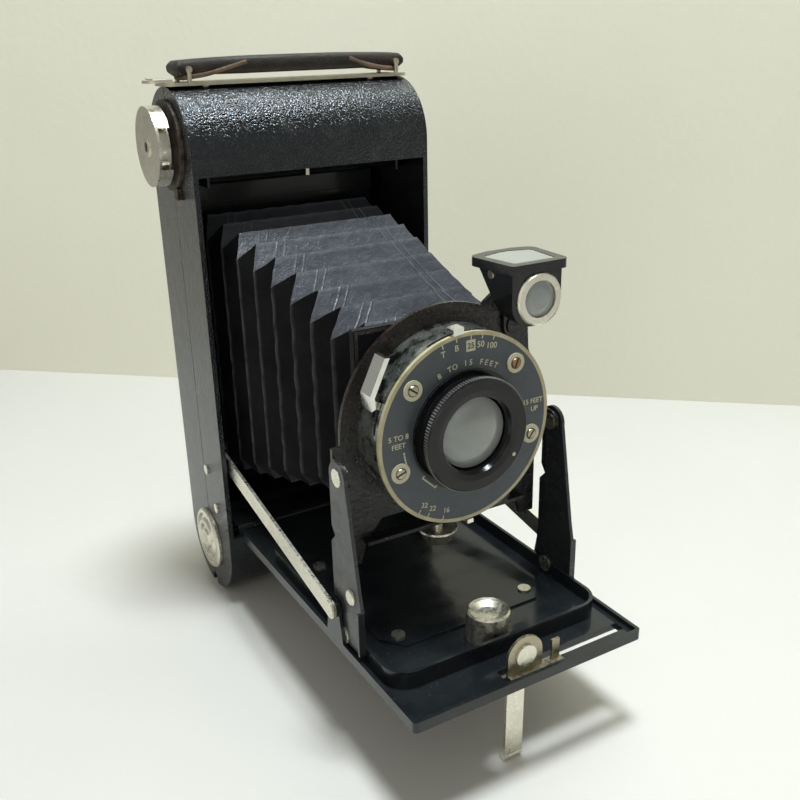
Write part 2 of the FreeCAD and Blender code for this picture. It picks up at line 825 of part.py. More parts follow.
def bed_plate():
    """The pressed steel door that becomes the bed, with a low rim and the slot for the leg."""
    outline = [
        ("-bed_half", "bed_front"), ("bed_half", "bed_front"),
        ("bed_half", "bed_rear"), ("-bed_half", "bed_rear"),
    ]
    pan = plate("XY", ("bed_low", "bed_rim"), outline=outline, corners={0: 1.2, 1: 1.2})
    well = plate("XY", ("bed_floor", "bed_rim + 1"), outline=[
        ("-bed_half + 1", "bed_front + 1"), ("bed_half - 1", "bed_front + 1"),
        ("bed_half - 1", "bed_rear + 5"), ("-bed_half + 1", "bed_rear + 5"),
    ], corners={0: 0.6, 1: 0.6})
    tabs = []
    for low, high in (("-30", "-14"), ("14", "30")):
        tabs.append(rod("X", "hinge_radius", (low, high), ("bed_hinge_back", "bed_hinge_up")))
        tabs.append(box((low, high), ("bed_rear - 0.5", "bed_hinge_back"), ("bed_low + 0.3", "bed_floor")))
    slot = leg_slot()
    bush_hole = rod("Z", "tripod_thread + 1.5", ("0", "50"), ("0", "bush_back"))
    pin_bore = rod("X", "0.75", ("-50", "50"), ("bed_hinge_back", "bed_hinge_up"))
    ear_bore = rod("X", "rivet_radius", ("-50", "50"), ("strut_front_back", "strut_front_up"))
    solid = fuse(cut(pan, well), *tabs, *strut_ears())
    return keep("bed_plate", cut(solid, slot, bush_hole, pin_bore, ear_bore))


def leg_slot():
    return box(("-7", "34"), ("leg_back - 0.3", "leg_back + 2.9"), ("0", "50"))


def bed_leather():
    skin = plate("XY", ("bed_low - leather", "bed_low"), outline=[
        ("-bed_half + 1", "bed_front + 1"), ("bed_half - 1", "bed_front + 1"),
        ("bed_half - 1", "bed_rear - 0.5"), ("-bed_half + 1", "bed_rear - 0.5"),
    ], corners={0: 2.0, 1: 2.0})
    bush_hole = rod("Z", "tripod_thread + 1.5", ("0", "50"), ("0", "bush_back"))
    return keep("bed_leather", cut(skin, leg_slot(), bush_hole))


def bed_hinge_pin():
    pin = rod("X", "0.7", ("-35.5", "35.5"), ("bed_hinge_back", "bed_hinge_up"))
    return keep("bed_hinge_pin", pin)


def bed_tray():
    """The raised pressing screwed to the bed, in which the standard's arms are pivoted."""
    pan = plate("XY", ("bed_floor", "tray_rim"), outline=[
        ("-tray_half", "tray_front"), ("tray_half", "tray_front"),
        ("tray_half", "tray_rear"), ("-tray_half", "tray_rear"),
    ], corners={0: 7.0, 1: 7.0})
    well = plate("XY", ("bed_floor + tray_sheet", "tray_rim + 5"), outline=[
        ("-tray_half + tray_sheet", "tray_front + tray_sheet"),
        ("tray_half - tray_sheet", "tray_front + tray_sheet"),
        ("tray_half - tray_sheet", "tray_rear + 9"),
        ("-tray_half + tray_sheet", "tray_rear + 9"),
    ], corners={0: 6.1, 1: 6.1})
    panel = plate("XY", ("bed_floor", "bed_floor + tray_sheet + 0.6"), outline=[
        ("-22", "-105.5"), ("22", "-105.5"), ("27", "-99"), ("27", "-50"), ("-27", "-50"), ("-27", "-99"),
    ])
    ears = []
    for hand in (-1, 1):
        ends = sorted((f"{hand} * (tray_half - tray_sheet)", f"{hand} * tray_half"), key=number)
        ears.append(rod("X", "3", tuple(ends), ("arm_low_back", "arm_low_up")))
    bush_hole = rod("Z", "bush_radius - 0.8", ("0", "50"), ("0", "bush_back"))
    pivots = rod("X", "rivet_radius", ("-50", "50"), ("arm_low_back", "arm_low_up"))
    return keep("bed_tray", cut(fuse(cut(pan, well), panel, *ears), bush_hole, pivots))


def tripod_bush():
    """The threaded bush for a tripod screw, open at the bottom of the bed."""
    return keep("tripod_bush", turned("Z", ("0", "bush_back"), [
        ("tripod_thread", "bed_low - leather"),
        ("tripod_thread + 1.5", "bed_low - leather"),
        ("tripod_thread + 1.5", "bed_floor"),
        ("bush_radius - 0.8", "bed_floor"),
        ("bush_radius - 0.8", "bed_floor + tray_sheet"),
        ("bush_radius + 0.4", "bed_floor + tray_sheet"),
        ("bush_radius + 0.2", "bed_floor + 4"),
        ("bush_radius", "bed_floor + 8.7"),
        ("bush_radius - 0.5", "bed_floor + 9.2"),
        ("bush_radius - 1.1", "bed_floor + 8.7"),
        ("bush_radius - 3", "bed_floor + 7.9"),
        ("0", "bed_floor + 7.6"),
        ("0", "bed_floor + 6.5"),
        ("tripod_thread", "bed_floor + 6.5"),
    ]))


def tray_screws():
    spots = [("-21.5", "-100.25"), ("21.5", "-100.25"), ("-24", "-56"), ("24", "-56")]
    floor = "bed_floor + tray_sheet + 0.6"
    heads = [rod("Z", "1.9", (floor, f"{floor} + 0.6"), spot) for spot in spots]
    return keep("tray_screws", fuse(*heads))


def strut_ears():
    """Two ears that stand on the bed's edges and carry the front ends of the struts."""
    ears = []
    for hand in (-1, 1):
        ends = tuple(sorted((f"{hand} * 35.5", f"{hand} * bed_half"), key=number))
        lobe = rod("X", "strut_half + 0.6", ends, ("strut_front_back", "strut_front_up"))
        blade = plate("YZ", ends, outline=[
            ("strut_front_back - 5", "bed_rim - 1"), ("strut_front_back + 5", "bed_rim - 1"),
            ("strut_front_back + 3", "strut_front_up"), ("strut_front_back - 3", "strut_front_up"),
        ])
        ears += [lobe, blade]
    return ears


def pivot_rivets(back, up, inner, outer, heads=(True, True)):
    """A pair of rivets along X, left and right, with a flat head at either end."""
    rivets = []
    for hand in (-1, 1):
        pieces = [rod("X", "rivet_radius", hand_ends(hand, inner, outer), (back, up))]
        for spot, wanted, step in ((inner, heads[0], -0.3), (outer, heads[1], 0.25)):
            if wanted:
                head = hand_ends(hand, spot, f"({spot}) + {step}")
                pieces.append(rod("X", "rivet_head", head, (back, up)))
        rivets.append(fuse(*pieces))
    return rivets


def bed_rivets():
    """The rivets on the bed that the arms, the struts and the leg turn on."""
    feet = pivot_rivets("arm_low_back", "arm_low_up", "tray_half - tray_sheet", "arm_outer")
    struts = pivot_rivets("strut_front_back", "strut_front_up", "35.5", "strut_outer", (False, True))
    return keep("bed_rivets", fuse(*feet, *struts, leg_rivet()))


def standard_rivets():
    """The rivets on the lens board that the arms turn on."""
    tops = pivot_rivets("arm_top_back", "arm_top_up", "33.1", "arm_outer")
    return keep("standard_rivets", fuse(*tops))


# ---------------------------------------------------------------- support leg

def leg_bracket():
    """The nickelled bracket on the bed's front edge, with a round tab and a small hook."""
    thick = ("leg_back - 1.2", "leg_back - 0.4")
    tab = rod("Y", "leg_tab", thick, ("leg_across", "leg_up"))
    stem = box(("leg_across - leg_tab", "leg_across + leg_tab"), thick, ("bed_floor", "leg_up"))
    flange = box(("leg_across - leg_tab", "11"), ("leg_back - 2.8", "leg_back - 0.4"),
                 ("bed_floor", "bed_floor + 0.8"))
    hook = box(("8", "10.4"), ("leg_back - 1.2", "leg_back - 0.4"), ("bed_floor", "leg_up + 1"))
    bore = rod("Y", "rivet_radius", ("leg_back - 5", "leg_back + 5"), ("leg_across", "leg_up"))
    return keep("leg_bracket", cut(fuse(tab, stem, flange, hook), bore))


def leg_rivet():
    at = ("leg_across", "leg_up")
    boss = rod("Y", "3.1", ("leg_back - 1.9", "leg_back - 1.2"), at)
    shank = rod("Y", "rivet_radius", ("leg_back - 1.9", "leg_back + leg_sheet + 0.4"), at)
    head = rod("Y", "2.4", ("leg_back + leg_sheet + 0.1", "leg_back + leg_sheet + 0.6"), at)
    return fuse(boss, shank, head)


def support_leg():
    """The folding leg: a flat strip with a round top and a rolled foot."""
    thick = ("leg_back", "leg_back + leg_sheet")
    top = rod("Y", "leg_width / 2 + 0.6", thick, ("leg_across", "leg_up"))
    strip = plate("XZ", thick, outline=[
        ("leg_across - leg_width / 2 - 0.6", "leg_up"),
        ("leg_across + leg_width / 2 + 0.6", "leg_up"),
        ("leg_across + leg_width / 2 - 1.8", "leg_up - 8"),
        ("leg_across + leg_width / 2 - 2.2", "foot_radius"),
        ("leg_across - leg_width / 2 - 2.2", "foot_radius"),
        ("leg_across - leg_width / 2 - 1.8", "leg_up - 8"),
    ])
    width = ("leg_across - leg_width / 2 - 2.2", "leg_across + leg_width / 2 - 2.2")
    roll = rod("X", "foot_radius", width, ("leg_back + foot_radius - 0.15", "foot_radius"))
    bore = rod("Y", "rivet_radius + 0.05", ("leg_back - 5", "leg_back + 5"), ("leg_across", "leg_up"))
    return keep("support_leg", cut(fuse(top, strip, roll), bore))


# ---------------------------------------------------------------- arms and struts

def arm(label, hand):
    """One of the two flat arms that carry the lens standard, with a narrow front flange."""
    ends = hand_ends(hand, "arm_inner", "arm_outer")
    top = rod("X", "4.3", ends, ("arm_top_back", "arm_top_up"))
    blade = plate("YZ", ends, outline=[
        ("arm_top_back - 4.2", "arm_top_up"), ("arm_top_back - 9.2", "50"),
        ("-105.4", "44"), ("-104.6", "30.2"), ("-92.2", "30.2"), ("-91.2", "33.4"),
        ("-90", "37"), ("-90", "58.5"),
        ("-92.4", "61"), ("-90.6", "63.5"), ("arm_top_back + 4.2", "arm_top_up"),
    ])
    flange = box(hand_ends(hand, "arm_inner", "arm_outer + 0.9"), ("-105.4", "-104.6"), ("31", "44"))
    bores = [
        rod("X", "rivet_radius + 0.05", ("-50", "50"), ("arm_top_back", "arm_top_up")),
        rod("X", "rivet_radius + 0.05", ("-50", "50"), ("arm_low_back", "arm_low_up")),
    ]
    stud = rod("X", "2.1", hand_ends(hand, "arm_outer - 0.1", "arm_outer + 0.5"), ("-100.15", "46.4"))
    return keep(label, cut(fuse(top, blade, flange, stud), *bores))


def strut(label, hand):
    """One of the two nickelled struts that lock the bed at a right angle."""
    ends = hand_ends(hand, "strut_inner", "strut_outer")
    run = number("strut_end_back - strut_front_back")
    rise = number("strut_end_up - strut_front_up")
    across, up = -rise / math.hypot(run, rise), run / math.hypot(run, rise)
    outline = []
    for back, height, side in (
        ("strut_front_back", "strut_front_up", -1), ("strut_end_back", "strut_end_up", -1),
        ("strut_end_back", "strut_end_up", 1), ("strut_front_back", "strut_front_up", 1),
    ):
        outline.append((f"{back} + {side * across} * strut_half", f"{height} + {side * up} * strut_half"))
    bar = plate("YZ", ends, outline=outline)
    rounds = [rod("X", "strut_half", ends, ("strut_front_back", "strut_front_up")),
              rod("X", "strut_half", ends, ("strut_end_back", "strut_end_up"))]
    bore = rod("X", "rivet_radius + 0.05", ("-50", "50"), ("strut_front_back", "strut_front_up"))
    return keep(label, cut(fuse(bar, *rounds), bore))


# ---------------------------------------------------------------- lens standard

def lens_board():
    """The upright plate that carries the shutter, with its feet, side lugs and finder ear."""
    thick = ("board_front", "board_back")
    disc = rod("Y", "board_radius", thick, ("0", "lens_up"))
    skirt = box(("-board_radius", "board_radius"), thick, ("board_low", "lens_up"))
    arch = plate("XZ", ("board_front - 1", "board_back + 1"), outline=[
        ("-27", "board_low - 1"), ("27", "board_low - 1"), ("25", "55"),
        ("20", "61"), ("-20", "61"), ("-25", "55"),
    ])
    lens_hole = rod("Y", "rear_cell_radius + 0.1", ("board_front - 1", "board_back + 1"), ("0", "lens_up"))
    lugs = []
    for hand in (-1, 1):
        lugs.append(box(hand_ends(hand, "board_radius - 2", "33.9"), thick, ("72.5", "84.5")))
        sides = hand_ends(hand, "33.1", "33.9")
        lugs.append(rod("X", "3.4", sides, ("arm_top_back", "arm_top_up")))
        lugs.append(box(sides, ("arm_top_back", "board_back"), ("arm_top_up - 3.4", "arm_top_up + 3.4")))
    rim = cut(
        box(("-25.5", "25.5"), ("board_back", "bellows_front"), ("62", "114")),
        box(("-24.6", "24.6"), ("board_back - 1", "bellows_front + 1"), ("62.9", "113.1")),
    )
    bridge = box(("-26", "26"), ("board_front - 3", "board_back"), ("55.4", "56.4"))
    ear = plate("XZ", thick, outline=[
        ("10", "111"), ("13.2", "116.2"), ("16", "118.2"), ("24", "118.2"), ("27.5", "112"),
        ("28.3", "100"), ("20", "98"),
    ], corners={3: 2.5})
    top_bore = rod("X", "rivet_radius", ("-50", "50"), ("arm_top_back", "arm_top_up"))
    stem_hole = rod("Z", "1.55", ("50", "60"), ("-3", "-91.6"))
    solid = fuse(cut(fuse(disc, skirt), arch), *lugs, rim, bridge, ear, *finder_stud())
    return keep("lens_board", cut(solid, lens_hole, top_bore, stem_hole))


def finder_stud():
    """The stud on the lens board that the finder turns on, with its flat head."""
    at = ("finder_pivot_across", "finder_pivot_up")
    pin = rod("Y", "rivet_radius", ("board_front - 1.2", "board_back"), at)
    head = rod("Y", "2.6", ("board_front - 1.5", "board_front - 1.0"), at)
    return pin, head


def release_button():
    """The button under the standard that unlocks it for folding."""
    return keep("standard_release", turned("Z", ("-3", "-91.6"), [
        ("0", "49.6"),
        ("3.3", "49.6"),
        ("3.9", "50.1"),
        ("5.5", "53.3"),
        ("5.5", "53.9"),
        ("1.5", "53.9"),
        ("1.5", "57.6"),
        ("2.3", "57.6"),
        ("2.3", "58.2"),
        ("0", "58.2"),
    ]))


def slot_for(layer):
    """The ends along Y of a rim slot that leaves a lever a little room."""
    return f"{layer} - 0.2", f"{layer} + lever_sheet + 0.2"


def shutter_case():
    """The round shutter housing, open at the front, with slots in its rim for the levers."""
    at = ("0", "lens_up")
    cup = cut(
        rod("Y", "case_radius", ("face_back", "board_front"), at),
        rod("Y", "case_radius - case_wall", ("face_back - 1", "board_front - case_wall"), at),
        rod("Y", "rear_cell_radius + 0.1", ("face_back - 1", "board_front + 1"), at),
        sector("case_radius + 2", slot_for("release_layer"), at, 153, 20),
        sector("case_radius + 2", slot_for("speed_layer"), at, 66, 48),
        sector("case_radius + 2", slot_for("aperture_layer"), at, 234, 56),
    )
    return keep("shutter_case", cup)


def shutter_front():
    """The face plate with its four eyelet screws, and the ring that holds the lens barrel."""
    at = ("0", "lens_up")
    face = cut(
        rod("Y", "face_radius", ("face_front", "face_back"), at),
        rod("Y", "cell_bore + 0.9", ("face_front - 1", "face_back + 1"), at),
    )
    keep("shutter_face", face)
    radius = 21.7
    eyelets = []
    for angle in (139.0, 45.5, 200.0, 344.0):
        across = radius * math.cos(math.radians(angle))
        rise = radius * math.sin(math.radians(angle))
        spot = (f"{across:.3f}", f"lens_up + {rise:.3f}")
        eyelets.append(rod("Y", "2.7", ("face_front - 0.45", "face_front"), spot))
    keep("face_screws", fuse(*eyelets))
    keep("lens_mount", turned("Y", at, [
        ("cell_bore", "face_front - 0.7"),
        ("mount_radius", "face_front - 0.7"),
        ("mount_radius", "face_front"),
        ("cell_bore + 0.9", "face_front"),
        ("cell_bore + 0.9", "face_back + 1.2"),
        ("cell_bore", "face_back + 1.2"),
    ]))


def focus_ring():
    """The knurled front cell, turned to focus."""
    front = "barrel_front"
    return keep("focus_ring", turned("Y", ("0", "lens_up"), [
        ("glass_radius", f"{front} + 1.4"),
        ("glass_radius + 0.6", f"{front} + 0.3"),
        ("glass_radius + 2.2", f"{front}"),
        ("barrel_radius - 0.3", f"{front}"),
        ("barrel_radius", f"{front} + 0.3"),
        ("barrel_radius", f"{front} + 2.1"),
        ("barrel_radius - 0.6", f"{front} + 2.4"),
        ("barrel_radius - 0.6", "face_front - 0.8"),
        ("cell_bore - 0.05", "face_front - 0.8"),
        ("cell_bore - 0.05", "-98.6"),
        ("glass_radius", "-98.6"),
    ]))


def glasses():
    clear = "glass_radius - 0.05"
    keep("front_glass", lens_element("barrel_front + 1.0", "barrel_front + 5.2", clear, "24"))
    keep("rear_cell", turned("Y", ("0", "lens_up"), [
        ("9.2", "-92.6"),
        ("rear_cell_radius", "-92.6"),
        ("rear_cell_radius", "board_back"),
        ("13.4", "board_back"),
        ("13.4", "board_back + 1.2"),
        ("rear_cell_radius - 0.6", "board_back + 1.2"),
        ("rear_cell_radius - 0.6", "rear_cell_back"),
        ("9.2", "rear_cell_back"),
    ]))
    keep("rear_glass", lens_element("rear_cell_back - 3.6", "rear_cell_back - 0.4", "9.15", "30"))


def lever(layer, start, sweep, outer):
    """A thin ring inside the case with one finger that passes out through the rim."""
    at = ("0", "lens_up")
    ring = (layer, f"{layer} + lever_sheet")
    circle = cut(
        rod("Y", "case_radius - case_wall - 0.5", ring, at),
        rod("Y", "case_radius - case_wall - 2.6", (f"{ring[0]} - 1", f"{ring[1]} + 1"), at),
    )
    finger = cut(
        sector(outer, ring, at, start, sweep),
        rod("Y", "case_radius - case_wall - 1.5", (f"{ring[0]} - 1", f"{ring[1]} + 1"), at),
    )
    return [circle, finger]


def levers():
    """Shutter release, speed lever and aperture lever, each on its own ring."""
    at = ("0", "lens_up")
    grip = plate("XZ", ("-99.6", "-94.6"), outline=[
        ("-21.4", "109.4"), ("-22.8", "109.6"), ("-27.2", "100.4"), ("-26.9", "96.4"),
        ("-25.6", "96.9"), ("-25.9", "99.8"),
    ])
    keep("release_lever", fuse(*lever("release_layer", 154, 4, "case_radius + 2.9"), grip))
    tip = cut(
        sector("case_radius + 2.2", ("face_front - 0.9", "speed_layer + lever_sheet"), at, 93.2, 6.5),
        rod("Y", "face_radius + 0.15", ("-110", "-90"), at),
    )
    keep("speed_lever", fuse(*lever("speed_layer", 93.2, 6.5, "case_radius + 2.2"), tip))
    pointer = cut(
        sector("case_radius + 1.6", ("face_front - 0.4", "aperture_layer + lever_sheet"), at, 270.2, 4),
        rod("Y", "face_radius + 0.15", ("-110", "-90"), at),
    )
    keep("aperture_lever", fuse(*lever("aperture_layer", 270.2, 4, "case_radius + 1.6"), pointer))


def shutter_works():
    """The plate behind the front glass, two shutter blades and the leaves of the iris."""
    at = ("0", "lens_up")
    disc = cut(
        rod("Y", "case_radius - case_wall", ("plate_layer", "plate_layer + 0.5"), at),
        rod("Y", "9", ("plate_layer - 1", "plate_layer + 1"), at),
    )
    pivot = ("0", "lens_up - blade_pin_drop")
    pin = rod("Y", "0.8", ("plate_layer", "board_front - case_wall"), pivot)
    keep("shutter_plate", fuse(disc, pin))
    for label, side, front in (("blade_left", -1, "blade_layer"), ("blade_right", 1, "blade_layer + 0.5")):
        thick = (front, f"{front} + blade_sheet")
        wing = common(
            rod("Y", "10.4", thick, at),
            box(hand_ends(side, "-1", "12"), ("-100", "-90"), ("60", "120")),
        )
        tail = plate("XZ", thick, outline=[
            (f"{side} * -0.9", "lens_up - 8"), (f"{side} * 5", "lens_up - 8.6"),
            (f"{side} * 1.8", "lens_up - blade_pin_drop"), (f"{side} * -1.8", "lens_up - blade_pin_drop"),
        ])
        eye = rod("Y", "2", thick, pivot)
        bore = rod("Y", "0.85", ("-100", "-90"), pivot)
        keep(label, cut(fuse(wing, tail, eye), bore))
    leaves = []
    count = 5
    for i in range(count):
        front = f"iris_layer + {0.2 * i:.1f}"
        thick = (front, f"{front} + 0.15")
        leaf = cut(
            sector("14.5", thick, at, i * 360 / count, 160),
            rod("Y", "7.6", ("-100", "-90"), at),
        )
        leaves.append(leaf)
    group = doc.addObject("Part::Compound", "Leaves")
    group.Links = leaves
    keep("iris_leaves", group)


# ---------------------------------------------------------------- view finder

def rounded_front(left, right, low, top, radius):
    """A block with the finder's front outline, round at its two lower corners."""
    return plate("XZ", ("finder_front - 1", "finder_back + 1"), outline=[
        (left, low), (right, low), (right, top), (left, top),
    ], corners={0: radius, 1: radius})


def hood_outline(inset):
    """The finder's top seen from above: it flares to the back and its back edge bulges."""
    left, right = f"finder_left - 0.6 + {inset}", f"finder_left + finder_width + 1.8 - {inset}"
    front, back = f"finder_front - 0.8 + {inset}", f"finder_back + 1.2 - {inset}"
    return [
        (left, front), (right, front), (f"{right} + 1", back),
        (f"{right} - 5", f"{back} + 1.9"), (f"{left} + 5", f"{back} + 1.9"), (f"{left} - 1.8", back),
    ]


def finder():
    """The small reflecting finder: a wedge-shaped box, its front ring and glasses, and a mirror."""
    left, right = "finder_left", "finder_left + finder_width"
    low, top, front, back = "finder_low", "finder_top", "finder_front", "finder_back"
    block = plate("YZ", (left, right), outline=[
        (front, low), (front, top), (back, top), (back, f"{top} - 3"), (f"{front} + 3", low),
    ])
    wall = "finder_sheet"
    core = plate("YZ", (f"{left} + {wall}", f"{right} - {wall}"), outline=[
        (f"{front} + {wall}", f"{low} + {wall}"), (f"{front} + {wall}", f"{top} - {wall}"),
        (f"{back} - {wall}", f"{top} - {wall}"), (f"{back} - {wall}", f"{top} - 2.8"),
        (f"{front} + 2.6", f"{low} + {wall}"),
    ])
    wedge = common(block, rounded_front(left, right, low, top, 6.5))
    hollow = common(core, rounded_front(
        f"{left} + {wall}", f"{right} - {wall}", f"{low} + {wall}", top, 5.7))
    lens_across, lens_rise = "finder_left + 8.6", "117.7"
    lens_hole = rod("Y", "5.6", (f"{front} - 2", f"{front} + 2"), (lens_across, lens_rise))
    hood = cut(
        plate("XY", (f"{top} - 2.5", top), outline=hood_outline(0), corners={0: 1.2, 1: 2.0, 2: 2.5, 5: 2.5}),
        plate("XY", (f"{top} - 4", f"{top} - {wall}"), outline=hood_outline(0.7),
              corners={0: 0.6, 1: 1.3, 2: 1.8, 5: 1.8}),
    )
    window = plate("XY", (f"{top} - 2", f"{top} + 2"), outline=hood_outline(2.6),
                   corners={0: 1.0, 1: 1.0, 2: 1.5, 5: 1.5})
    lug = box(("finder_pivot_across - 3.6", "finder_pivot_across + 3.6"),
              ("board_front - 1.0", "board_front - 0.2"), ("finder_pivot_up", "119"))
    lobe = rod("Y", "3.6", ("board_front - 1.0", "board_front - 0.2"),
               ("finder_pivot_across", "finder_pivot_up"))
    bore = rod("Y", "rivet_radius + 0.05", ("-110", "-80"), ("finder_pivot_across", "finder_pivot_up"))
    case = cut(fuse(wedge, hood, lug, lobe), hollow, lens_hole, window, bore)
    keep("finder_case", case)
    keep("finder_top_glass", plate("XY", (f"{top} - 0.7", f"{top} - 0.1"), outline=hood_outline(2.7),
                                   corners={0: 0.9, 1: 0.9, 2: 1.4, 5: 1.4}))
    keep("finder_bezel", turned("Y", (lens_across, lens_rise), [
        ("5.0", f"{front} - 0.9"),
        ("6.7", f"{front} - 0.9"),
        ("7.1", f"{front} - 0.4"),
        ("7.1", front),
        ("5.0", front),
    ]))
    keep("finder_lens", turned("Y", (lens_across, lens_rise), [
        ("0", f"{front} - 1.1"),
        ("2.8", f"{front} - 0.8"),
        ("4.95", f"{front} - 0.1"),
        ("4.95", f"{front} + 0.4"),
        ("0", f"{front} + 0.4"),
    ]))
    mirror = plate("YZ", (f"{left} + 1.4", f"{right} - 1.4"), outline=[
        (f"{front} + 3.3", f"{low} + 2.0"), (f"{front} + 3.3", f"{low} + 2.9"),
        (f"{back} - 2.6", f"{top} - 3.2"), (f"{back} - 1.9", f"{top} - 3.2"),
    ])
    keep("finder_mirror", common(mirror, rounded_front(
        f"{left} + 1.2", f"{right} - 1.2", f"{low} + 1.2", top, 5.3)))


# ---------------------------------------------------------------- the whole camera

front_shell()
front_leather()
inner_frame()
cover_hinge_pin()
rear_shell()
rear_leather()
red_window()
pressure_plate()
film_roller("film_roller_upper", "upper_roll - roller_step")
film_roller("film_roller_lower", "lower_roll + roller_step")
take_up_spool()
spool_pins()
winding_key()
key_collar()
spool_knob()
bed_latch_pin()
bellows()
strut_guides()
side_rivets()
handle()
back_latch()
bed_plate()
bed_leather()
bed_hinge_pin()
bed_tray()
tripod_bush()
tray_screws()
leg_bracket()
support_leg()
arm("arm_left", -1)
arm("arm_right", 1)
strut("strut_left", -1)
strut("strut_right", 1)
bed_rivets()
standard_rivets()
lens_board()
release_button()
shutter_case()
shutter_front()
focus_ring()
glasses()
levers()
shutter_works()
finder()

doc.recompute()

failed = [item.Label for item in doc.Objects if "Invalid" in item.State or "Error" in item.State]
if failed:
    raise RuntimeError(f"these objects failed: {failed}")
for item in NODES:
    if item.Shape.isNull() or not item.Shape.isValid():
        raise RuntimeError(f"{item.Label} has no valid shape")
for item in NODES:
    item.Shape.exportStep(f"parts/{item.Label}.step")
    print(f"{item.Label}: {len(item.Shape.Solids)} solid(s), {item.Shape.Volume:.1f} mm3")
print(len(NODES), "nodes")
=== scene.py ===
"""Looks of the folding roll-film camera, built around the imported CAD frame.

All lengths are in metres, in the row frame: +X to the right seen from the front,
+Y towards the back cover, +Z up, and Z = 0 is the table.
"""

import json
import math

import bmesh
import bpy
from mathutils import Matrix, Quaternion, Vector


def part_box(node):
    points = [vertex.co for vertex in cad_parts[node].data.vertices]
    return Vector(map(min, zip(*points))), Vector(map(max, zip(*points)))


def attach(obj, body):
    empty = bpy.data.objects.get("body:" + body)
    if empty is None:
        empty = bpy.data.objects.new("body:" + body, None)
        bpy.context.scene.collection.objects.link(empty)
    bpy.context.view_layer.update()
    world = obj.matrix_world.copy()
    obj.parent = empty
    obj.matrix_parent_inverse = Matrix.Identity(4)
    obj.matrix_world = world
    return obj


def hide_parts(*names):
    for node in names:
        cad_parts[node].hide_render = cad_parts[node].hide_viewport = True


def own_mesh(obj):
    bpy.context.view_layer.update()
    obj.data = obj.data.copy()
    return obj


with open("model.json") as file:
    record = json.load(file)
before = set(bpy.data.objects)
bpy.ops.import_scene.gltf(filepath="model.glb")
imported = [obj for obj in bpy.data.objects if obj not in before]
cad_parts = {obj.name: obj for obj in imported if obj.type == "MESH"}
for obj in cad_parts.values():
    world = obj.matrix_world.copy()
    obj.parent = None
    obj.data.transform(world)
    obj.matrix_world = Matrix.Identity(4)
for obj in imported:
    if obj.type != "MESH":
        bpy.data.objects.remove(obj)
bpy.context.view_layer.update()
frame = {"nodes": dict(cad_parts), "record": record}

MM = 0.001
LENS_UP = 0.0863
ARM_FLANGE = 0.0009  # how far the front flange of an arm stands out past its blade
ARM_STUD_BACK = -0.10015
ARM_STUD_UP = 0.0464


# ---------------------------------------------------------------- materials: the tool

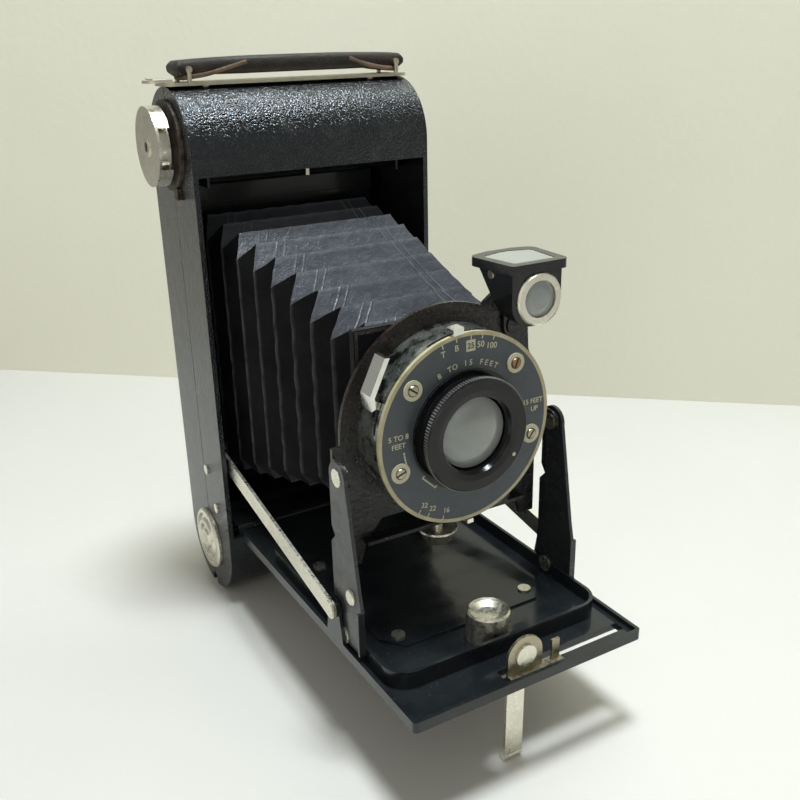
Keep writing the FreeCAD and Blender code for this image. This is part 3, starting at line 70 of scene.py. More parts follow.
class Surface:
    """One procedural material: a Principled shader and the texture nodes that feed it."""

    def __init__(self, name, colour, roughness, metallic=0.0, **sockets):
        self.material = bpy.data.materials.new(name)
        self.material.use_nodes = True
        self.tree = self.material.node_tree
        self.shader = self.tree.nodes["Principled BSDF"]
        self.place = self.node("ShaderNodeTexCoord").outputs["Object"]
        self.set("Base Color", (*colour, 1.0))
        self.set("Roughness", roughness)
        self.set("Metallic", metallic)
        for socket, value in sockets.items():
            self.set(socket.replace("_", " "), value)
        self.normal = None

    def set(self, socket, value):
        self.shader.inputs[socket].default_value = value

    def feed(self, socket, output):
        self.tree.links.new(output, self.shader.inputs[socket])

    def node(self, kind, links=(), **settings):
        made = self.tree.nodes.new(kind)
        for key, value in settings.items():
            setattr(made, key, value)
        for key, output in links:
            if isinstance(output, bpy.types.NodeSocket):
                self.tree.links.new(output, made.inputs[key])
            else:
                made.inputs[key].default_value = output
        return made

    def stretched(self, stretch):
        return self.node("ShaderNodeMapping", [("Vector", self.place), ("Scale", stretch)]).outputs[0]

    def noise(self, scale, detail=4.0, rough=0.5, stretch=None):
        place = self.stretched(stretch) if stretch else self.place
        return self.node("ShaderNodeTexNoise", [
            ("Vector", place), ("Scale", scale), ("Detail", detail), ("Roughness", rough),
        ]).outputs["Fac"]

    def cells(self, scale, feature="F1", jitter=1.0, where=None):
        return self.node("ShaderNodeTexVoronoi", [
            ("Vector", where or self.place), ("Scale", scale), ("Randomness", jitter),
        ], feature=feature).outputs["Distance"]

    def levels(self, value, low, high, start=0.0, end=1.0):
        """The value, spread so that low becomes start and high becomes end."""
        return self.node("ShaderNodeMapRange", [
            ("Value", value), ("From Min", low), ("From Max", high), ("To Min", start), ("To Max", end),
        ]).outputs[0]

    def calc(self, operation, first, second=0.0):
        """A Math node's result, for operations such as ADD or MAXIMUM."""
        return self.node("ShaderNodeMath", [(0, first), (1, second)], operation=operation).outputs[0]

    def mix(self, share, first, second):
        """A colour between two colours, or between a colour and a socket's colour."""
        def full(colour):
            return (*colour, 1.0) if isinstance(colour, tuple) else colour
        made = self.node("ShaderNodeMix", data_type="RGBA")
        for index, value in ((0, share), (6, full(first)), (7, full(second))):
            if isinstance(value, bpy.types.NodeSocket):
                self.tree.links.new(value, made.inputs[index])
            else:
                made.inputs[index].default_value = value
        return made.outputs[2]

    def bump(self, height, depth):
        """Adds relief of that depth in metres, on top of the relief so far."""
        made = self.node("ShaderNodeBump", [("Height", height), ("Distance", depth)])
        if self.normal:
            self.tree.links.new(self.normal, made.inputs["Normal"])
        self.normal = made.outputs[0]
        self.feed("Normal", self.normal)
        return self

    def edges(self, radius, low=0.02, high=0.25):
        """Near 1 along sharp edges and 0 on flat faces."""
        bevel = self.node("ShaderNodeBevel", [("Radius", radius)], samples=4)
        true = self.node("ShaderNodeNewGeometry").outputs["True Normal"]
        dot = self.node("ShaderNodeVectorMath", [(0, bevel.outputs[0]), (1, true)], operation="DOT_PRODUCT")
        away = self.calc("SUBTRACT", 1.0, dot.outputs["Value"])
        return self.levels(away, low, high)

    def axis(self, letter, where=None):
        split = self.node("ShaderNodeSeparateXYZ", [(0, where or self.place)])
        return split.outputs[letter]

    def lens_radius(self):
        """The distance from the lens axis."""
        across = self.axis("X")
        up = self.calc("SUBTRACT", self.axis("Z"), LENS_UP)
        squares = self.calc("ADD", self.calc("POWER", across, 2.0), self.calc("POWER", up, 2.0))
        return self.calc("SQRT", squares)


# ---------------------------------------------------------------- materials: leather and cloth

def pebble_leather():
    """The body covering: black, glossy, with small round grains."""
    skin = Surface("leather_black", (0.007, 0.008, 0.009), 0.20, Specular_IOR_Level=0.66)
    skin.set("Specular Tint", (0.88, 0.94, 1.0, 1.0))
    grains = skin.levels(skin.cells(1400.0), 0.0, 0.62, 1.0, 0.0)
    fine = skin.levels(skin.cells(2700.0), 0.0, 0.6, 1.0, 0.0)
    skin.bump(skin.calc("ADD", grains, skin.calc("MULTIPLY", fine, 0.5)), 0.00013)
    skin.bump(skin.noise(150.0, 3.0), 0.00014)
    worn = skin.levels(skin.noise(130.0, 5.0, 0.6), 0.52, 0.72)
    skin.feed("Base Color", skin.mix(worn, (0.006, 0.007, 0.008), (0.020, 0.022, 0.021)))
    skin.feed("Roughness", skin.levels(skin.noise(900.0, 4.0), 0.3, 0.7, 0.06, 0.20))
    return skin.material


def bellows_leather():
    """Thin folded leather, with painted light: slate grey where the folds face up or down, nearly black as
    painted shade at the sides.

    UV.x is ten times the distance from the nearest corner in metres, UV.y is 1 on a crest.
    """
    skin = Surface("bellows_leather", (0.045, 0.050, 0.062), 0.46, Specular_IOR_Level=0.5)
    uv = skin.node("ShaderNodeTexCoord").outputs["UV"]
    along, crest = skin.axis("X", uv), skin.axis("Y", uv)
    facing = skin.node("ShaderNodeNewGeometry").outputs["True Normal"]
    # Painted light by facing: faces that look up or down get the lighter slate colour, and the sides get
    # the near black as painted shade.
    level = skin.levels(skin.calc("ABSOLUTE", skin.axis("Z", facing)), 0.28, 0.42)
    seams = None
    for spot in (0.068, 0.094):
        near = skin.calc("ABSOLUTE", skin.calc("SUBTRACT", along, spot))
        line = skin.levels(near, 0.0, 0.0045, 1.0, 0.0)
        seams = skin.calc("MAXIMUM", seams, line) if seams else line
    fold = skin.levels(crest, 0.86, 1.0)
    crease_shade = skin.levels(crest, 0.22, 0.0)
    stain = skin.levels(skin.noise(70.0, 5.0, 0.6), 0.35, 0.7)
    lit_face_colour = skin.mix(stain, (0.036, 0.040, 0.050), (0.062, 0.068, 0.082))
    shaded_side_colour = skin.mix(stain, (0.006, 0.006, 0.007), (0.014, 0.014, 0.015))
    colour = skin.mix(level, shaded_side_colour, lit_face_colour)
    # Painted highlights on the seam lines and on the crests, broken up by noise, and painted shade in the
    # hollows between the folds.
    rubbed = skin.levels(skin.noise(240.0, 3.0), 0.3, 0.6, 0.35, 1.0)
    lit = skin.calc("MULTIPLY", skin.calc("MULTIPLY", seams, rubbed), level)
    colour = skin.mix(skin.calc("MULTIPLY", lit, 0.55), colour, (0.15, 0.165, 0.19))
    colour = skin.mix(skin.calc("MULTIPLY", skin.calc("MULTIPLY", fold, rubbed), 0.5), colour,
                      (0.15, 0.155, 0.16))
    colour = skin.mix(skin.calc("MULTIPLY", crease_shade, 0.85), colour, (0.006, 0.006, 0.008))
    skin.feed("Base Color", colour)
    skin.feed("Specular IOR Level", skin.levels(level, 0.0, 1.0, 0.06, 0.50))
    skin.bump(skin.calc("MULTIPLY", seams, level), 0.00022)
    skin.bump(skin.noise(300.0, 5.0, 0.6), 0.00034)
    skin.bump(skin.noise(1500.0, 3.0), 0.00009)
    skin.feed("Roughness", skin.levels(skin.noise(350.0, 4.0), 0.3, 0.7, 0.30, 0.50))
    return skin.material


def strap_leather():
    """The handle's leather: worn dark grey on top, brown where it is rubbed."""
    skin = Surface("strap_leather", (0.02, 0.018, 0.016), 0.55, Specular_IOR_Level=0.3)
    wear = skin.levels(skin.noise(120.0, 6.0, 0.65, (1.0, 2.0, 2.0)), 0.40, 0.66)
    rub = skin.edges(0.0011, 0.01, 0.16)
    brown = skin.calc("MAXIMUM", skin.calc("MULTIPLY", wear, 0.35), skin.calc("MULTIPLY", rub, 0.8))
    skin.feed("Base Color", skin.mix(brown, (0.014, 0.014, 0.013), (0.090, 0.058, 0.038)))
    skin.bump(skin.noise(700.0, 6.0, 0.6), 0.00022)
    skin.bump(skin.cells(1900.0), 0.00006)
    skin.feed("Roughness", skin.levels(skin.noise(200.0, 4.0), 0.3, 0.7, 0.42, 0.68))
    return skin.material


def raw_leather():
    """The bare brown flesh side and cut edges of the strap."""
    skin = Surface("strap_brown", (0.10, 0.06, 0.04), 0.7)
    tone = skin.levels(skin.noise(260.0, 6.0, 0.65, (0.4, 1.0, 1.0)), 0.3, 0.7)
    skin.feed("Base Color", skin.mix(tone, (0.050, 0.032, 0.022), (0.24, 0.16, 0.10)))
    skin.bump(skin.noise(1400.0, 5.0), 0.00015)
    return skin.material


# ---------------------------------------------------------------- materials: enamel and paint

def enamel(name, colour, roughness, dust, wear_colour=(0.16, 0.13, 0.09)):
    """Baked black enamel with dust, fine scratches and thin wear on its edges."""
    coat = Surface(name, colour, roughness, Specular_IOR_Level=0.42, Coat_Weight=0.15)
    coat.set("Coat Roughness", 0.06)
    specks = coat.levels(coat.cells(620.0), 0.10, 0.04)
    film = coat.levels(coat.noise(45.0, 6.0, 0.6), 0.42, 0.75)
    tone = coat.mix(coat.calc("MULTIPLY", film, dust), colour, (0.050, 0.058, 0.055))
    tone = coat.mix(coat.calc("MULTIPLY", specks, dust * 0.8), tone, (0.30, 0.29, 0.25))
    chips = coat.levels(coat.noise(900.0, 4.0), 0.50, 0.60)
    worn = coat.calc("MULTIPLY", coat.edges(0.00022, 0.06, 0.3), chips)
    coat.feed("Base Color", coat.mix(coat.calc("MULTIPLY", worn, 0.3), tone, wear_colour))
    scratch = coat.noise(140.0, 3.0, 0.5, (0.12, 1.0, 1.0))
    coat.feed("Roughness", coat.levels(scratch, 0.35, 0.7, roughness * 0.75, roughness * 1.6))
    coat.bump(coat.noise(260.0, 3.0), 0.00005)
    return coat.material


def crackle():
    """The lens board's uneven enamel, with small rusty brown specks at the upper left."""
    coat = Surface("black_crackle", (0.012, 0.012, 0.012), 0.26, Specular_IOR_Level=0.5)
    cracks = coat.cells(520.0, "DISTANCE_TO_EDGE")
    wrinkle = coat.noise(330.0, 6.0, 0.62)
    rise = coat.calc("MULTIPLY", coat.axis("Z"), 26.0)
    corner = coat.calc("ADD", rise, coat.calc("MULTIPLY", coat.axis("X"), -16.0))
    high = coat.levels(corner, 2.25, 3.1)
    rust = coat.calc("MULTIPLY", coat.levels(coat.noise(1100.0, 3.0, 0.7), 0.56, 0.62), high)
    tone = coat.mix(high, (0.009, 0.009, 0.010), (0.014, 0.011, 0.010))
    tone = coat.mix(coat.calc("MULTIPLY", rust, 0.55), tone, (0.095, 0.045, 0.030))
    coat.feed("Base Color", coat.mix(coat.calc("MULTIPLY", coat.edges(0.0002, 0.06, 0.3), 0.3), tone,
                                     (0.09, 0.085, 0.075)))
    coat.bump(coat.levels(cracks, 0.0, 0.12), 0.00005)
    coat.bump(wrinkle, 0.00014)
    coat.feed("Roughness", coat.levels(wrinkle, 0.3, 0.7, 0.2, 0.42))
    return coat.material


def barrel_black():
    """The lens barrel's smooth black, with a thin bright line along its edges that is partly rubbed wear
    and partly painted highlight.
    """
    coat = Surface("barrel_black", (0.006, 0.006, 0.007), 0.16, Specular_IOR_Level=0.38)
    # The bright edge line is partly rubbed wear and partly a painted highlight.
    edge = coat.calc("MULTIPLY", coat.edges(0.0002, 0.08, 0.3), coat.levels(coat.noise(600.0), 0.40, 0.55))
    film = coat.levels(coat.noise(160.0, 5.0), 0.45, 0.75)
    tone = coat.mix(coat.calc("MULTIPLY", film, 0.4), (0.005, 0.005, 0.006), (0.016, 0.016, 0.017))
    coat.feed("Base Color", coat.mix(coat.calc("MULTIPLY", edge, 0.8), tone, (0.24, 0.24, 0.22)))
    coat.feed("Roughness", coat.levels(coat.noise(300.0, 4.0), 0.3, 0.7, 0.12, 0.26))
    coat.bump(coat.noise(900.0, 3.0), 0.00002)
    return coat.material


def milled_black(low, high):
    """Black knurling whose tips are rubbed to bright metal. low and high are radii from the axis."""
    coat = Surface("milled_black", (0.010, 0.011, 0.012), 0.3)
    tips = coat.levels(coat.lens_radius(), low, high)
    patch = coat.levels(coat.noise(120.0, 3.0), 0.3, 0.6, 0.45, 1.0)
    coat.feed("Base Color", coat.mix(coat.calc("MULTIPLY", tips, patch), (0.008, 0.009, 0.010),
                                     (0.50, 0.50, 0.47)))
    coat.feed("Metallic", coat.calc("MULTIPLY", tips, patch))
    coat.bump(coat.noise(1500.0, 3.0), 0.00002)
    return coat.material


def chrome_painted_reflections():
    """The shutter housing's rim: plated, with dark and greenish patches that are painted reflections."""
    metal = Surface("chrome_painted_reflections", (0.5, 0.52, 0.48), 0.2, 0.85)
    # The dark and greenish patches are painted reflections of the surroundings.
    patch = metal.levels(metal.noise(210.0, 5.0, 0.65), 0.40, 0.58)
    green = metal.levels(metal.noise(420.0, 3.0), 0.45, 0.65)
    dark = metal.mix(green, (0.012, 0.015, 0.014), (0.075, 0.10, 0.075))
    metal.feed("Base Color", metal.mix(patch, dark, (0.42, 0.45, 0.42)))
    metal.feed("Roughness", metal.levels(patch, 0.0, 1.0, 0.34, 0.16))
    metal.bump(metal.noise(500.0, 4.0), 0.00003)
    return metal.material


def slate_face():
    """The shutter's face: slate grey enamel inside a narrow cream rim."""
    coat = Surface("slate_face", (0.055, 0.066, 0.078), 0.36)
    radius = coat.lens_radius()
    rim = coat.levels(radius, 0.02540, 0.02548)
    film = coat.levels(coat.noise(210.0, 5.0, 0.6), 0.35, 0.7)
    slate = coat.mix(film, (0.046, 0.056, 0.067), (0.064, 0.075, 0.086))
    specks = coat.levels(coat.cells(900.0), 0.08, 0.03)
    slate = coat.mix(coat.calc("MULTIPLY", specks, 0.4), slate, (0.2, 0.19, 0.15))
    cream = coat.mix(film, (0.36, 0.32, 0.19), (0.52, 0.47, 0.31))
    coat.feed("Base Color", coat.mix(rim, slate, cream))
    coat.bump(rim, 0.00012)
    coat.bump(coat.noise(700.0, 3.0), 0.00002)
    coat.feed("Roughness", coat.levels(film, 0.0, 1.0, 0.3, 0.46))
    return coat.material


def cream_paint():
    coat = Surface("cream_paint", (0.56, 0.52, 0.37), 0.5)
    coat.feed("Base Color", coat.mix(coat.noise(900.0, 3.0), (0.45, 0.41, 0.27), (0.66, 0.63, 0.48)))
    return coat.material


# ---------------------------------------------------------------- materials: metal and glass

def plated(name, colour, roughness, stain_colour, stains, brushed=(1.0, 1.0, 1.0)):
    """Plated metal: brushed lines, soft stains and small dark pits."""
    metal = Surface(name, colour, roughness, 1.0)
    stain = metal.levels(metal.noise(110.0, 4.0, 0.55), 0.52, 0.78)
    pits = metal.levels(metal.cells(300.0), 0.05, 0.02)
    tone = metal.mix(metal.calc("MULTIPLY", stain, stains), colour, stain_colour)
    metal.feed("Base Color", metal.mix(metal.calc("MULTIPLY", pits, stains), tone, (0.10, 0.085, 0.06)))
    lines = metal.noise(900.0, 3.0, 0.5, brushed)
    metal.feed("Roughness", metal.levels(lines, 0.3, 0.7, roughness * 0.75, roughness * 1.45))
    metal.bump(lines, 0.000015)
    metal.bump(metal.noise(240.0, 3.0), 0.00004)
    return metal.material


def shade_brown():
    """Dark brown with pitted relief, as painted shade: the ring under the winding key, the hollows of the
    eyelets and the key's hole.
    """
    metal = Surface("shade_brown", (0.06, 0.04, 0.03), 0.55, 0.6)
    patch = metal.levels(metal.noise(330.0, 6.0, 0.65), 0.42, 0.62)
    metal.feed("Base Color", metal.mix(patch, (0.030, 0.020, 0.015), (0.13, 0.105, 0.08)))
    metal.bump(metal.noise(700.0, 6.0, 0.65), 0.00025)
    return metal.material


def lens_glass(name, colour, roughness, clear):
    """Old glass: mostly clear, with a thin haze."""
    glass = Surface(name, colour, roughness, IOR=1.52, Transmission_Weight=clear)
    glass.set("Coat Weight", 0.6)
    haze = glass.levels(glass.noise(120.0, 4.0), 0.3, 0.75)
    dim = tuple(channel * 0.78 for channel in colour)
    glass.feed("Base Color", glass.mix(haze, dim, colour))
    return glass.material


def silvered():
    glass = Surface("silvered_glass", (0.75, 0.77, 0.77), 0.06, 1.0)
    glass.feed("Roughness", glass.levels(glass.noise(300.0, 5.0), 0.4, 0.75, 0.04, 0.2))
    return glass.material


MATERIALS = {
    "leather_black": pebble_leather(),
    "bellows_leather": bellows_leather(),
    "strap_leather": strap_leather(),
    "black_enamel": enamel("black_enamel", (0.009, 0.010, 0.010), 0.17, 0.14),
    "black_crackle": crackle(),
    "barrel_black": barrel_black(),
    "slate_face": slate_face(),
    "nickel": plated("nickel", (0.78, 0.75, 0.64), 0.30, (0.52, 0.47, 0.34), 0.45),
    "bright_nickel": plated("bright_nickel", (0.80, 0.80, 0.76), 0.16, (0.42, 0.44, 0.38), 0.5),
    "plain_steel": plated("plain_steel", (0.46, 0.46, 0.45), 0.32, (0.24, 0.21, 0.17), 0.6),
    "lens_glass": lens_glass("lens_glass", (0.66, 0.70, 0.67), 0.06, 0.60),
    "red_pane": lens_glass("red_pane", (0.50, 0.02, 0.012), 0.05, 0.8),
    "silvered_glass": silvered(),
}
BROWN = raw_leather()
CREAM = cream_paint()
SHADE_BROWN = shade_brown()
MILLED = milled_black(0.01532, 0.01560)
CHROME_PAINTED_REFLECTIONS = chrome_painted_reflections()
TARNISHED = plated("tarnished_nickel", (0.42, 0.38, 0.28), 0.32, (0.16, 0.14, 0.09), 0.7)
BRASS_WORN = plated("worn_brass", (0.30, 0.20, 0.11), 0.38, (0.10, 0.06, 0.03), 0.9)
RAIL_NICKEL = plated("rail_nickel", (0.56, 0.52, 0.40), 0.34, (0.30, 0.26, 0.17), 0.7)
DUSTY = enamel("dusty_enamel", (0.008, 0.010, 0.012), 0.16, 0.30)
ARM_GREY = enamel("arm_enamel", (0.018, 0.019, 0.021), 0.26, 0.16)
OTHER_MATERIALS = {
    "bed_tray": DUSTY,
    "bed_plate": DUSTY,
    # Painted shade: the ring under the winding key is dark brown, standing for its shadow.
    "key_collar": SHADE_BROWN,
    "face_screws": CREAM,
    "finder_bezel": MATERIALS["nickel"],
    "shutter_case": CHROME_PAINTED_REFLECTIONS,
    "leg_bracket": TARNISHED,
    "handle_rail": RAIL_NICKEL,
    "arm_left": ARM_GREY,
    "arm_right": ARM_GREY,
}


def paint(thing, material):
    thing.data.materials.clear()
    thing.data.materials.append(material)


def paint_cad_nodes():
    """Gives every carried-over CAD node the procedural material of its slot."""
    for part in frame["record"]["subparts"]:
        node = frame["nodes"][part["node"]]
        paint(node, OTHER_MATERIALS.get(part["node"], MATERIALS[part["material_slot"]]))
        for face in node.data.polygons:
            face.material_index = 0


# ---------------------------------------------------------------- pieces: the tool

def new_piece(name, body, material, build):
    """A mesh piece that rides on a CAD body. build fills an empty bmesh."""
    mesh = bpy.data.meshes.new(name)
    shape = bmesh.new()
    build(shape)
    bmesh.ops.recalc_face_normals(shape, faces=shape.faces)
    shape.to_mesh(mesh)
    shape.free()
    piece = bpy.data.objects.new(name, mesh)
    bpy.context.scene.collection.objects.link(piece)
    paint(piece, material)
    if body:
        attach(piece, body)
    return piece


def smooth(piece, angle=35.0):
    for face in piece.data.polygons:
        face.use_smooth = True
    with bpy.context.temp_override(object=piece, active_object=piece, selected_objects=[piece],
                                   selected_editable_objects=[piece]):
        bpy.ops.object.shade_smooth_by_angle(angle=math.radians(angle))


def join_rings(shape, rings):
    """Fills the space between each ring of vertices and the next with a band of faces."""
    for first, second in zip(rings, rings[1:]):
        count = len(first)
        for k in range(count):
            n = (k + 1) % count
            shape.faces.new((first[k], first[n], second[n], second[k]))


def sweep(shape, path, profile):
    """A solid along a path, a list of Vectors. profile(place, direction) gives its outline there."""
    rings = []
    for i, spot in enumerate(path):
        ahead = path[min(i + 1, len(path) - 1)]
        behind = path[max(i - 1, 0)]
        rings.append([shape.verts.new(point) for point in profile(spot, (ahead - behind).normalized())])
    join_rings(shape, rings)
    shape.faces.new(rings[0])
    shape.faces.new(list(reversed(rings[-1])))


# ---------------------------------------------------------------- bellows

BELLOWS_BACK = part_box("bellows")[1].y
BELLOWS_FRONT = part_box("bellows")[0].y
BELLOWS_MIDDLE = 0.0865
FIRST_CREST = -0.01705
PLEAT = 0.01062
LAST_FOLD_ROOM = 3 * MM  # no fold stands nearer than this to an end of the bellows


def between(start, end, share):
    return start + (end - start) * share


def bellows_sizes(back):
    """Half widths, top and bottom of the folds at a distance along the bellows."""
    share = (BELLOWS_BACK - back) / (BELLOWS_BACK - BELLOWS_FRONT)
    swell = math.sin(math.pi * min(1.0, share * 1.15)) ** 2
    wide = between(0.0330, 0.0246, share)
    narrow = between(0.0296, 0.0170, share) + 0.0008 * swell
    top = between(0.1315, 0.1118, share) + 0.0022 * swell
    low = between(0.0395, 0.0640, share) - 0.0010 * swell
    drop = between(0.0066, 0.0056, share)
    return wide, narrow, top, low, drop


def bellows_ring(back, crest):
    """Corner points at one fold. On a crest the top is high and the sides are in."""
    wide, narrow, top, low, drop = bellows_sizes(back)
    if crest:
        half, high, deep = narrow, top, low
    else:
        half, high, deep = wide, top - drop, low + drop
    return [Vector((-half, back, high)), Vector((half, back, high)),
            Vector((half, back, deep)), Vector((-half, back, deep))]


def bellows_folds():
    """The place of each fold, from the rear frame to the lens board, and whether it is a crest."""
    spot, crest = FIRST_CREST, True
    while spot + PLEAT / 2 < BELLOWS_BACK - LAST_FOLD_ROOM:
        spot += PLEAT / 2
        crest = not crest
    folds = [(BELLOWS_BACK, not crest)]
    while spot > BELLOWS_FRONT + LAST_FOLD_ROOM:
        folds.append((spot, crest))
        spot -= PLEAT / 2
        crest = not crest
    folds.append((BELLOWS_FRONT, crest))
    return folds


def build_bellows(shape):
    """A pleated tunnel with mitred corners, each panel split finely enough to sag a little."""
    folds = bellows_folds()
    steps, slices = (16, 22, 16, 22), 4
    uv = shape.loops.layers.uv.new("Folds")
    rows = []
    for i, (back, is_crest) in enumerate(folds):
        shares = [0.0] if i == 0 else [k / slices for k in range(1, slices + 1)]
        for share in shares:
            here = bellows_ring(back, is_crest)
            if i:
                before = bellows_ring(*folds[i - 1])
                here = [a.lerp(b, share) for a, b in zip(before, here)]
            ridge = share if is_crest else 1.0 - share
            row = []
            for side in range(4):
                start, end = here[side], here[(side + 1) % 4]
                run = (end - start).length
                for k in range(steps[side]):
                    part = k / steps[side]
                    point = start.lerp(end, part)
                    sag = math.sin(math.pi * part) * math.sin(math.pi * share) * 0.0004
                    wobble = 0.00022 * math.sin(900 * point.x + 37 * i) * math.sin(700 * point.z + 11 * i)
                    inward = (Vector((0, point.y, BELLOWS_MIDDLE)) - point).normalized()
                    point = point + inward * (sag + wobble)
                    reach = min(part, 1.0 - part) * run
                    row.append((shape.verts.new(point), reach, ridge, side))
            rows.append(row)
    for first, second in zip(rows, rows[1:]):
        count = len(first)
        for k in range(count):
            n = (k + 1) % count
            face = shape.faces.new([first[k][0], first[n][0], second[n][0], second[k][0]])
            side = first[k][3]
            for loop, corner in zip(face.loops, (first[k], first[n], second[n], second[k])):
                reach = corner[1] * 10 if corner[3] == side else 0.0
                ridge = corner[2] if side in (0, 2) else 1.0 - corner[2]
                loop[uv].uv = (reach, ridge)


def bellows():
    piece = new_piece("bellows_skin", "camera_body", MATERIALS["bellows_leather"],
                      build_bellows)
    smooth(piece, 38.0)
    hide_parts("bellows")
    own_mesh(piece)


# From the board's back, out round the rim and in again: place, half width, low and high, in mm.
COLLAR_STEPS = (
    (-89.15, 20.0, 67.0, 108.0),
    (-89.15, 25.8, 61.7, 114.3),
    (-86.9, 25.8, 61.7, 114.3),
    (-86.4, 25.2, 62.3, 113.7),
    (-86.4, 17.5, 66.0, 109.0),
)


def bellows_collar():
    """The leather turned over the rim at the back of the lens board."""
    def build(shape):
        rings = []
        for back, half, low, high in COLLAR_STEPS:
            corners = ((-half, high), (half, high), (half, low), (-half, low))
            rings.append([shape.verts.new(Vector((x, back, z)) * MM) for x, z in corners])
        join_rings(shape, rings)
    new_piece("bellows_collar", "standard", MATERIALS["bellows_leather"], build)


# ---------------------------------------------------------------- handle strap

def strap_profile(width, thick):
    """A flat rounded section, width along Y. thick is a length, or gives one for a place."""
    across, count, squareness = Vector((0, 1, 0)), 16, 0.45

    def place(spot, direction):
        up = direction.cross(across).normalized()
        height = thick(spot) if callable(thick) else thick
        points = []
        for k in range(count):
            turn = 2 * math.pi * k / count
            side = math.copysign(abs(math.cos(turn)) ** squareness, math.cos(turn)) * width / 2
            high = math.copysign(abs(math.sin(turn)) ** squareness, math.sin(turn)) * height / 2
            points.append(spot + across * side + up * high)
        return points
    return place


def curve_points(corners, count):
    """Smooth points through a few corners in the XZ plane, by a Catmull-Rom spline."""
    spots = [Vector((x, 0, z)) for x, z in corners]
    spots = [spots[0] * 2 - spots[1]] + spots + [spots[-1] * 2 - spots[-2]]
    points = []
    for i in range(1, len(spots) - 2):
        a, b, c, d = spots[i - 1:i + 3]
        for k in range(count):
            t = k / count
            points.append(0.5 * (2 * b + (c - a) * t + (2 * a - 5 * b + 4 * c - d) * t ** 2
                                 + (3 * b - a - 3 * c + d) * t ** 3))
    points.append(spots[-2])
    return points


def handle_strap():
    """The grip: a thick leather slab with rounded ends, and a brown flap under each end."""
    low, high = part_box("handle_strap")
    left, right, top = low.x, high.x, high.z
    loop = (low.z + high.z) / 2
    middle, half = (left + right) / 2, (right - left) / 2

    def thick(spot):
        """Full over most of the length, rounded off in the last few millimetres."""
        end = max(0.0, half - abs(spot.x - middle))
        body = between(4.5 * MM, 5.2 * MM, min(1.0, end / (22 * MM)))
        return body * math.sqrt(min(1.0, 0.25 + end / (1.6 * MM)))

    line = curve_points([
        (left, loop + 0.1 * MM), (left + 1.0 * MM, loop + 0.2 * MM),
        (left + 4 * MM, loop + 0.4 * MM), (left + 14 * MM, top - 2.75 * MM),
        (left + 30 * MM, top - 2.65 * MM), (right - 26 * MM, top - 2.65 * MM),
        (right - 12 * MM, top - 2.75 * MM), (right - 4 * MM, loop + 0.5 * MM),
        (right - 1.0 * MM, loop + 0.3 * MM), (right, loop + 0.2 * MM),
    ], 8)
    grip = new_piece("strap_grip", "camera_body", MATERIALS["strap_leather"],
                     lambda shape: sweep(shape, line, strap_profile(9.8 * MM, thick)))
    smooth(grip, 50.0)
    for name, start, end in (("strap_flap_left", left + 2.2 * MM, left + 22 * MM),
                             ("strap_flap_right", right - 2.2 * MM, right - 20 * MM)):
        side = 1 if end > start else -1
        path = curve_points([
            (start, loop - 2.3 * MM), (start + side * 7 * MM, loop - 1.5 * MM),
            (start + side * 14 * MM, loop + 0.2 * MM), (end, loop + 1.6 * MM),
        ], 6)
        if side < 0:
            path.reverse()
        flap = new_piece(name, "camera_body", BROWN,
                         lambda shape, path=path: sweep(shape, path, strap_profile(10.6 * MM, 1.6 * MM)))
        smooth(flap, 50.0)
    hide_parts("handle_strap")


# ---------------------------------------------------------------- nickel studs on the arms

def build_stud(shape, middle, out, radius, rise):
    """A flat round rivet head with a bevelled edge, standing out along X."""
    turns = [2 * math.pi * k / 32 for k in range(32)]
    rings = []
    for reach, lift in ((radius, 0.0), (radius, rise * 0.5), (radius * 0.85, rise)):
        rings.append([
            shape.verts.new(middle + Vector((out * lift, reach * math.cos(turn), reach * math.sin(turn))))
            for turn in turns
        ])
    join_rings(shape, rings)
    shape.faces.new(rings[-1])


def arm_studs():
    """The nickel head that holds the front flange on each arm."""
    for name, body, node, out in (("arm_stud_left", "left_arm", "arm_left", -1),
                                  ("arm_stud_right", "right_arm", "arm_right", 1)):
        low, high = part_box(node)
        across = low.x + ARM_FLANGE if out < 0 else high.x - ARM_FLANGE
        middle = Vector((across, ARM_STUD_BACK, ARM_STUD_UP))

        def build(shape, spot=middle, way=out):
            build_stud(shape, spot, way, 2.25 * MM, 0.65 * MM)

        piece = new_piece(name, body, MATERIALS["nickel"], build)
        smooth(piece, 40.0)


# ---------------------------------------------------------------- lettering on the shutter's face

FACE_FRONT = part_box("shutter_face")[0].y
BARREL_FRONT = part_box("focus_ring")[0].y
EYELET_REACH = 21.7 * MM
EYELET_ANGLES = (139.0, 45.5, 200.0, 344.0)
INK = 0.06 * MM


def on_face(across, up, lift=INK):
    return Vector((across, FACE_FRONT - lift, LENS_UP + up))


def spot_on_face(radius, angle):
    """A place on the face by its distance from the lens axis and its angle in degrees."""
    turn = math.radians(angle)
    return on_face(radius * math.cos(turn), radius * math.sin(turn))


def glyph(text, size, middle, turn, bold=0.0):
    """The mesh data of a word on the shutter face, its middle at a place, turned by radians."""
    font = bpy.data.curves.new("glyph", "FONT")
    font.body = text
    font.size = size
    font.align_x = "CENTER"
    font.align_y = "CENTER"
    font.extrude = 0.02 * MM
    font.offset = bold
    font.resolution_u = 3
    made = bpy.data.objects.new("glyph", font)
    bpy.context.scene.collection.objects.link(made)
    bpy.context.view_layer.update()
    mesh = bpy.data.meshes.new_from_object(made.evaluated_get(bpy.context.evaluated_depsgraph_get()))
    bpy.data.objects.remove(made)
    stand = Matrix.Rotation(math.radians(90), 4, "X")
    mesh.transform(Matrix.Translation(middle) @ Matrix.Rotation(-turn, 4, "Y") @ stand)
    return mesh


